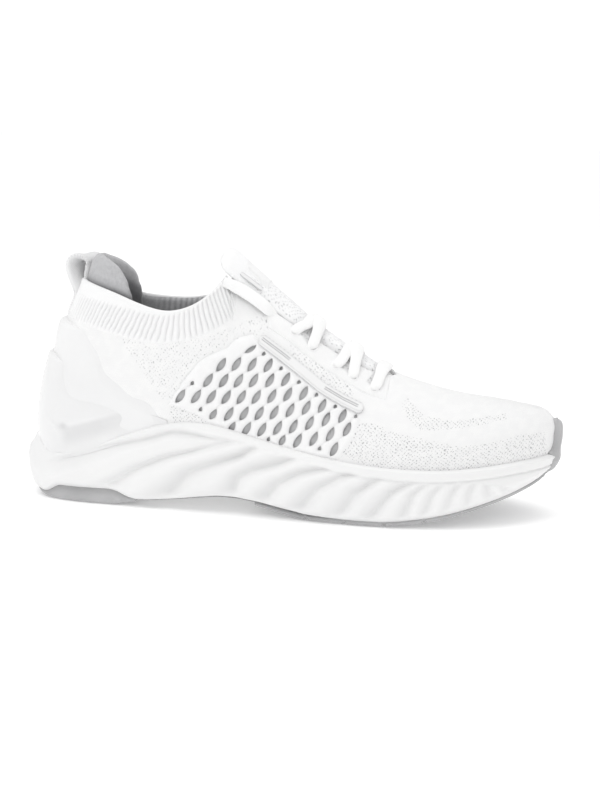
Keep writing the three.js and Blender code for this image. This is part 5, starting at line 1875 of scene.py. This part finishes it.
def build_tongue_base():
    """Thin sheet under the laces, on to the end of the throat."""
    stations = np.linspace(11.25, 14.6, 120)[:, None]
    share = np.linspace(-1, 1, 61)[None, :]
    around = np.where(share >= 0, 1, -1) * stations
    y = np.maximum(np.abs(share) * lookup(BASE_WIDTH, stations), 0.02)
    up = np.where(np.abs(share) < 1e-6, 1.0, up_at_width(around, y))
    rise = blur(lookup(BASE_RISE, stations), 3)
    tucked = ease(0.55, 0.86, np.abs(share))
    rise = (rise * (1 - tucked) + np.minimum(rise, -2.7) * tucked
            - 1.0 * ease(0.9, 1.0, np.abs(share)))
    outer, inner = offset(around, up, rise), offset(around, up, rise - 1.6)
    middle = share.size // 2
    for grid in (outer, inner):
        grid[:, middle, 1] = (grid[:, middle + 1, 1] + grid[:, middle - 1, 1]) / 2
    base = shell("tongue_base_sheet", outer, inner,
                 attrs={"kuv": weave(y * np.sign(share) + 40, stations * 11.5),
                        "pin": 0.85 * np.ones(up.shape)})
    finish(base, TONGUE_MESH, "tongue_mesh", "flex", "tongue_base")


LABEL_FRONT, LABEL_REAR, LABEL_HALF_WIDTH = 133.5, 115.0, 8.5


def build_label():
    x, y = np.meshgrid(np.linspace(LABEL_FRONT, LABEL_REAR, 60),
                       np.linspace(-LABEL_HALF_WIDTH, LABEL_HALF_WIDTH, 40), indexing="ij")
    edge = np.minimum(np.minimum(x - LABEL_REAR, LABEL_FRONT - x), LABEL_HALF_WIDTH - np.abs(y))
    height = 0.18 + 0.45 * ease(0, 0.5, edge) - 0.18 * bell(edge - 1.5, 0.3)
    label = shell("tongue_label_patch", tongue_face(x, y, 0.0) + LABEL_UP * height[..., None],
                  tongue_face(x, y, -1.3), attrs={"kuv": weave(x, y)})
    finish(label, LABEL, "label", "tongue", "tongue_label")


# ---- ribbons -----------------------------------------------------------------------------
def ribbon(name, points, facings, width, thickness, rows, columns, bulge, cloth_start,
           cup=0.0, edge_shade=0.0, length_shade=0.0, inner_shade=0.0):
    """Flat woven strap through points.

    width and the two last shades take the share of its length; cup curves it across."""
    points, facings = np.asarray(points, float), np.asarray(facings, float)
    knots = lengths_along(points)
    length = np.linspace(0, knots[-1], rows)
    cell = np.clip(np.searchsorted(knots, length, side="right") - 1, 0, len(knots) - 2)
    fraction = (length - knots[cell]) / (knots[cell + 1] - knots[cell])

    def through(values):
        """Smooth curve through values, carried straight on past both ends."""
        ended = np.concatenate([[2 * values[0] - values[1]], values,
                                [2 * values[-1] - values[-2]]])
        return cubic_rows(ended, cell + 1, fraction)

    centre = blur(through(points), 1.6)
    centre[0], centre[-1] = points[0], points[-1]
    facing = through(facings)
    tangent = np.gradient(centre, axis=0)
    tangent /= np.linalg.norm(tangent, axis=1, keepdims=True)
    facing -= (facing * tangent).sum(1, keepdims=True) * tangent
    facing = unit(facing)
    sideways = np.cross(tangent, facing)
    share = length / knots[-1]
    u = np.linspace(-1, 1, columns)
    across = u[None, :] * width(share)[:, None] / 2
    flat = centre[:, None] + sideways[:, None] * across[..., None]
    half = thickness / 2 * pillow(u, 6)
    curve = cup * (u ** 2 - 0.35)
    over = (half * (1 + bulge * (1 - u * u)) + curve)[None, :, None]
    under = (-half - 0.02 + curve)[None, :, None]
    shade, back = np.zeros((rows, columns)), np.zeros((rows, columns))
    if length_shade:
        shade += length_shade * ease(0.58, 0.72, share)[:, None]
        fold = (1 - ease(0.55, 0.70, share))[:, None]
        back += (inner_shade * ease(0.18, 0.34, share)[:, None]
                 * (1 - ease(-0.2, 0.2, u)[None, :] * fold))
    shade += edge_shade * bell(np.abs(u) - 0.80, 0.13)[None, :]
    return shell(name, flat + facing[:, None] * over, flat + facing[:, None] * under,
                 attrs={"kuv": weave(across + cloth_start, length[:, None]), "painted_shade_and_ribs": shade},
                 inner_attrs={"painted_shade_and_ribs": back})


def build_side_tabs():
    """Narrow woven tab on each side of the tongue."""
    rings = TONGUE_RINGS
    normals = unit(np.cross(np.gradient(rings, axis=0),
                            np.roll(rings, -1, 1) - np.roll(rings, 1, 1)))
    outward = ((rings - rings.mean(1, keepdims=True)) * normals).sum(-1, keepdims=True)
    normals *= np.where(outward < 0, -1, 1)
    places = drawn(rings)
    # points that face away or lie on the inner side are ruled out
    hidden = 500.0 * (normals @ (-SIGHT) < 0.15) + 500.0 * (rings[..., 1] > 0)
    points, facings = [], []
    for share in np.linspace(0, 1, 12):
        distance = np.hypot(places[..., 0] - (119.5 + 12.0 * share),
                            places[..., 1] - (136.5 + 9.0 * share)) + hidden
        distance = distance.ravel()
        nearest = np.argsort(distance)[:6]
        weights = 1 / (distance[nearest] + 0.15)
        weights = (weights / weights.sum())[:, None]
        facing = (normals.reshape(-1, 3)[nearest] * weights).sum(0)
        facing /= np.linalg.norm(facing)
        points.append((rings.reshape(-1, 3)[nearest] * weights).sum(0) + facing * 0.55)
        facings.append(facing)
    points, facings = blur(np.array(points), 1.2), blur(np.array(facings), 1.2)

    def width(share):
        from_end = np.minimum(share, 1 - share)
        return 3.0 * (0.35 + 0.65 * np.minimum(1.0, from_end / 0.1) ** 0.5)

    for side, side_name in SIDES:
        mirror = np.array([1.0, side, 1.0])
        tab = ribbon("tongue_side_tab_" + side_name, points * mirror, facings * mirror, width,
                     thickness=1.0, rows=70, columns=41, bulge=0.1, cloth_start=60,
                     edge_shade=0.8)
        finish(tab, WEBBING, "label", "tongue")


# Laces over the throat: name, frame node, first and last eyelet, extra lift, forward bow.
LACES = [
    ("lace_cross_a1", "lace_row_5", 0, 1, 0.0, 0.20),
    ("lace_cross_a2", "lace_row_4", 1, 0, 1.5, 0.30),
    ("lace_cross_b1", "lace_row_3", 2, 3, 0.0, 0.10),
    ("lace_cross_b2", "lace_row_2", 3, 2, 1.5, 0.16),
    ("lace_bar", "lace_row_1", 4, 4, -0.1, 0.14)]


def lace_width(share):
    from_end = np.minimum(share, 1 - share)
    return 8.2 * (0.60 + 0.13 * np.minimum(1.0, from_end / 0.10) + 0.27 * ease(0.20, 0.44, from_end))


def build_lace(name, node, first, last, lift, bow):
    """Lace from an eyelet on the outer side over the ridge to one on the inner side."""
    first_station, first_up = EYELETS[first]
    last_station, last_up = EYELETS[last]
    span = last_station - first_station

    def at(share):
        return first_station + span * share + bow * math.sin(pi * share) ** 1.3

    def by_up(side, along, up, distance):
        around = side * along
        return offset(around, up, distance), normal(around, up)

    def by_width(side, along, y, distance):
        return by_up(side, along, up_at_width(side * along, y), distance)

    def ridge(along, distance):
        pair = [by_width(side, along, 1.5, distance) for side in (1, -1)]
        facing = (pair[0][1] + pair[1][1]) / 2
        return (pair[0][0] + pair[1][0]) / 2, facing / np.linalg.norm(facing)

    low, near, high = 1.6 + lift * 0.2, 2.0 + lift * 0.5, 2.2 + lift * 0.85
    path = [by_up(1, first_station, first_up, -1.6),
            by_up(1, first_station + span * 0.03, first_up + 0.006, 0.9),
            by_up(1, at(0.16), first_up + 0.04, low),
            by_width(1, at(0.30), 9.5, near),
            by_width(1, at(0.41), 4.5, high),
            ridge(at(0.5), 2.2 + lift),
            by_width(-1, at(0.59), 4.5, high),
            by_width(-1, at(0.70), 9.5, near),
            by_up(-1, at(0.84), last_up + 0.04, low),
            by_up(-1, last_station - span * 0.03, last_up + 0.006, 0.9),
            by_up(-1, last_station, last_up, -1.6)]
    lace = ribbon(name, *zip(*path), lace_width, thickness=1.6, rows=140, columns=29,
                  bulge=0.4, cloth_start=30, cup=-0.3)
    finish(lace, LACE, "lace", "flex", node)


# Path of the outer lace tail: drawn x, drawn y, lift off the last.
TAIL_PATH = np.array([
    (138, 158.5, -2.2), (135.75, 156, 0.2), (133, 153.5, 2.4), (129.5, 150.6, 3.3),
    (125, 147.4, 3.6), (120, 144.3, 3.2), (115.5, 142.1, 2.4), (111.75, 140.75, 1.0)])


def tail_width(share):
    return (7.6 * (0.55 + 0.45 * np.minimum(1.0, share / 0.2))
            * (1 - 0.25 * np.maximum(0, share - 0.8) / 0.2))


def build_lace_tail(side, side_name):
    x, y, lift = TAIL_PATH.T
    around, up = traced(x, y, lift)
    around = side * around
    tail = ribbon("lace_tail_loop_" + side_name, offset(around, up, lift), normal(around, up),
                  tail_width, thickness=1.9, rows=110, columns=29, bulge=0.45, cloth_start=30,
                  cup=-0.6)
    finish(tail, LACE, "lace", "rearfoot", "lace_tail_" + side_name)


# Pull loop from the back of the heel, up and over into the collar: x, z, share of the twist.
LOOP_PATH = np.array([
    (22.3,90.5,0), (23.6,97,0), (25.2,103.2,.15), (28.6,108.6,.6), (30.0,113.2,.9),
    (28.2,118,1), (26.4,122.6,1), (25.6,127.2,1), (27.4,130.7,1), (31.8,131.7,1),
    (35.8,130.2,1.05), (37.0,126.3,1.15), (36.5,121.5,1.2), (36.2,115.5,.8)])
LOOP_TWIST = math.radians(31)


def loop_normals(points):
    """Normals of a line in the x-z plane, on its left as it climbs."""
    tangent = np.gradient(points, axis=0)
    tangent /= np.linalg.norm(tangent, axis=1, keepdims=True)
    return np.stack([-tangent[:, 2], 0 * tangent[:, 0], tangent[:, 0]], -1)


def build_pull_loop():
    x, z, twist_share = LOOP_PATH.T
    points = np.stack([x, 0 * x, z], -1)
    facings = loop_normals(points)
    twist = twist_share * LOOP_TWIST
    facings = np.stack([facings[:, 0] * np.cos(twist), -facings[:, 0] * np.sin(twist),
                        facings[:, 2]], -1)
    loop = ribbon("pull_loop_webbing", points, facings,
                  lambda share: 15.0 - 0.2 * np.sin(pi * share), thickness=3.4, rows=170,
                  columns=33, bulge=0.0, cloth_start=20, cup=0.35, length_shade=0.26,
                  inner_shade=0.26)
    finish(loop, WEBBING, "webbing", None, "pull_loop_foot", "pull_loop")
    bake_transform(loop)


# ---- stitching ---------------------------------------------------------------------------
# One stitch: share of its length, share of its radius.
STITCH_PROFILE = [(-0.02, 0.05), (0.12, 0.7), (0.3, 1.0), (0.7, 1.0), (0.88, 0.7), (1.02, 0.05)]
STITCH_SIDES = 6


def stitch(start, end, facing, radius):
    run = end - start
    length = np.linalg.norm(run)
    run = run / max(length, 1e-9)
    sideways = np.cross(run, facing)
    sideways /= max(np.linalg.norm(sideways), 1e-9)
    outward = np.cross(sideways, run)
    points = []
    for share, size in STITCH_PROFILE:
        # the ends dip into the cloth
        sink = -0.55 * radius * (1 - math.sin(pi * min(max(share, 0), 1)))
        for j in range(STITCH_SIDES):
            turn = 2 * pi * j / STITCH_SIDES
            points.append(start + run * length * share
                          + sideways * (radius * size * math.cos(turn))
                          + outward * (radius * size * math.sin(turn) * 0.8 + sink))
    quads = []
    for i in range(len(STITCH_PROFILE) - 1):
        for j in range(STITCH_SIDES):
            a, b = i * STITCH_SIDES + j, i * STITCH_SIDES + (j + 1) % STITCH_SIDES
            quads.append([a, b, b + STITCH_SIDES, a + STITCH_SIDES])
    for k in (0, (len(STITCH_PROFILE) - 1) * STITCH_SIDES):
        quads += [[k, k + 1, k + 2, k + 5], [k + 5, k + 2, k + 3, k + 4]]
    return np.array(points), np.array(quads)


def build_stitching(name, runs, radius, length, gap, carrier):
    """Stitches along runs of points with facings."""
    parts = []
    for points, facings in runs:
        knots = lengths_along(points)

        def along(values, distance):
            return np.array([np.interp(distance, knots, values[:, i]) for i in range(3)])

        at = 0.0
        while at + length < knots[-1]:
            parts.append(stitch(along(points, at), along(points, at + length),
                                along(facings, at + length / 2), radius))
            at += length + gap
    finish(add_mesh(name, *join_parts(parts)), THREAD, "lace", carrier)


def loop_stitching():
    """A box of stitches where the pull loop meets the heel."""
    half_width, lift = 5.6, 1.12
    runs = []
    for y in (-half_width, half_width):
        points = np.array([(22.3, y, 90.5), (23.2, y, 95), (24.2, y, 99.5), (24.9, y, 103.2)])
        facings = loop_normals(points)
        runs.append((points + facings * lift, facings))
    for z in (92.5, 101.5):
        x = np.interp(z, [90.5, 97, 103.5], [22.3, 23.6, 24.9])
        points = np.array([(x, y, z) for y in np.linspace(-half_width, half_width, 9)])
        facings = np.tile([[-1.0, 0, 0.2]], (9, 1))
        runs.append((points + facings * lift, facings))
    build_stitching("loop_stitching", runs, radius=0.36, length=1.9, gap=0.7,
                    carrier="rearfoot")


def label_stitching():
    x = np.linspace(132.6, 116, 30)
    runs = [(tongue_face(x, np.full(30, y), 0.0) + LABEL_UP * 0.62, np.tile(LABEL_UP, (30, 1)))
            for y in (-7.0, 7.0)]
    build_stitching("label_stitching", runs, radius=0.28, length=1.8, gap=0.6,
                    carrier="tongue")


def eyestay_stitching(side, side_name):
    stations = np.linspace(10.7, 13.85, 160)
    around = side * stations
    by_throat = up_at_width(around, blur(throat_width(stations), 3) + 1.7)
    by_eyelets = eyelet_line(stations) - 0.043
    runs = [(offset(around, up, 0.42), normal(around, up)) for up in (by_throat, by_eyelets)]
    build_stitching("eyestay_stitching_" + side_name, runs, radius=0.24, length=1.7, gap=0.7,
                    carrier="flex")


# ---- stage, lights, camera ---------------------------------------------------------------
def build_floor():
    size, z = 6.0, -0.0004
    mesh = bpy.data.meshes.new("floor")
    mesh.from_pydata([(-size, -size, z), (size, -size, z), (size, size, z), (-size, size, z)],
                     [], [(0, 1, 2, 3)])
    floor = bpy.data.objects.new("floor", mesh)
    bpy.context.scene.collection.objects.link(floor)
    material = bpy.data.materials.new("floor")
    material.use_nodes = True
    inputs = material.node_tree.nodes["Principled BSDF"].inputs
    inputs["Base Color"].default_value = (0.92, 0.92, 0.92, 1)
    inputs["Roughness"].default_value = 0.95
    inputs["Specular IOR Level"].default_value = 0.1
    inputs["Emission Color"].default_value = (1, 1, 1, 1)
    inputs["Emission Strength"].default_value = 0.22
    mesh.materials.append(material)


def build_world(light_strength, seen_strength):
    """White world that the camera sees brighter than it lights."""
    world = bpy.data.worlds.new("studio")
    bpy.context.scene.world = world
    world.use_nodes = True
    tree = world.node_tree
    background = tree.nodes["Background"]
    background.inputs[0].default_value = (1, 1, 1, 1)
    path = tree.nodes.new("ShaderNodeLightPath")
    mix = tree.nodes.new("ShaderNodeMix")
    mix.inputs[2].default_value = light_strength
    mix.inputs[3].default_value = seen_strength
    tree.links.new(path.outputs["Is Camera Ray"], mix.inputs[0])
    tree.links.new(mix.outputs[0], background.inputs[1])


def area_light(name, location, target, size, power):
    """Square light, in metres and watts."""
    light = bpy.data.lights.new(name, "AREA")
    light.energy = power
    light.shape = "RECTANGLE"
    light.size = size
    light.size_y = size
    lamp = bpy.data.objects.new(name, light)
    lamp.location = location
    aim = Vector(target) - Vector(location)
    lamp.rotation_euler = aim.to_track_quat("-Z", "Y").to_euler()
    bpy.context.scene.collection.objects.link(lamp)


def build_camera():
    scene = bpy.context.scene
    lens = bpy.data.cameras.new("cam")
    camera = bpy.data.objects.new("cam", lens)
    scene.collection.objects.link(camera)
    lens.sensor_width = 36.0
    lens.sensor_fit = "AUTO"
    lens.lens = 81.8043075
    lens.clip_start = 0.05
    lens.clip_end = 50
    place = (EYE - np.array([HEEL_X, 0, 0])) * 0.001
    rows = np.stack([VIEW_RIGHT, VIEW_UP, -SIGHT, place], 1)
    camera.matrix_world = Matrix((*rows.tolist(), (0, 0, 0, 1)))
    scene.camera = camera
    scene.view_settings.view_transform = "Standard"
    scene.view_settings.look = "None"
    scene.view_settings.exposure = 0.0


# ---- build -------------------------------------------------------------------------------
build_upper()
build_collar()
build_film()
build_clip()
heel_pad = build_heel_pad()
for side_and_name in SIDES:
    build_collar_lining(*side_and_name)
foam_wall, foam_normals = build_midsole()
build_treads()
build_toe_guard(foam_wall, foam_normals)
build_insoles()
build_windows()
build_trims()
for side_and_name in SIDES:
    build_eyestay(*side_and_name)
tongue_pad = build_tongue_mesh()
stuff(tongue_pad, voxel=1.5, pressure=3.0, frames=16, limit=1.2,
      held=lambda points: ease(120, 132, points[:, 0]))
stuff(heel_pad, voxel=1.4, pressure=4.0, frames=20, limit=0.6,
      held=lambda points: 1 - ease(108, 118, points[:, 2]))
finish_tongue(tongue_pad)
build_tongue_base()
build_label()
build_side_tabs()
for lace_row in LACES:
    build_lace(*lace_row)
for side_and_name in SIDES:
    build_lace_tail(*side_and_name)
build_pull_loop()
# parts kept from the frame, inside the upper
for node_name in ("toe_puff", "heel_stiffener"):
    paint(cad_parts[node_name], STIFFENER)
loop_stitching()
label_stitching()
for side_and_name in SIDES:
    eyestay_stitching(*side_and_name)

build_floor()
build_world(light_strength=0.86, seen_strength=1.15)
area_light("key", (-0.35, -0.55, 1.15), target=(0.10, 0, 0.05), size=0.7, power=3.4)
area_light("top", (0.35, 0.25, 1.3), target=(0.1, 0, 0.05), size=0.9, power=3.0)
build_camera()
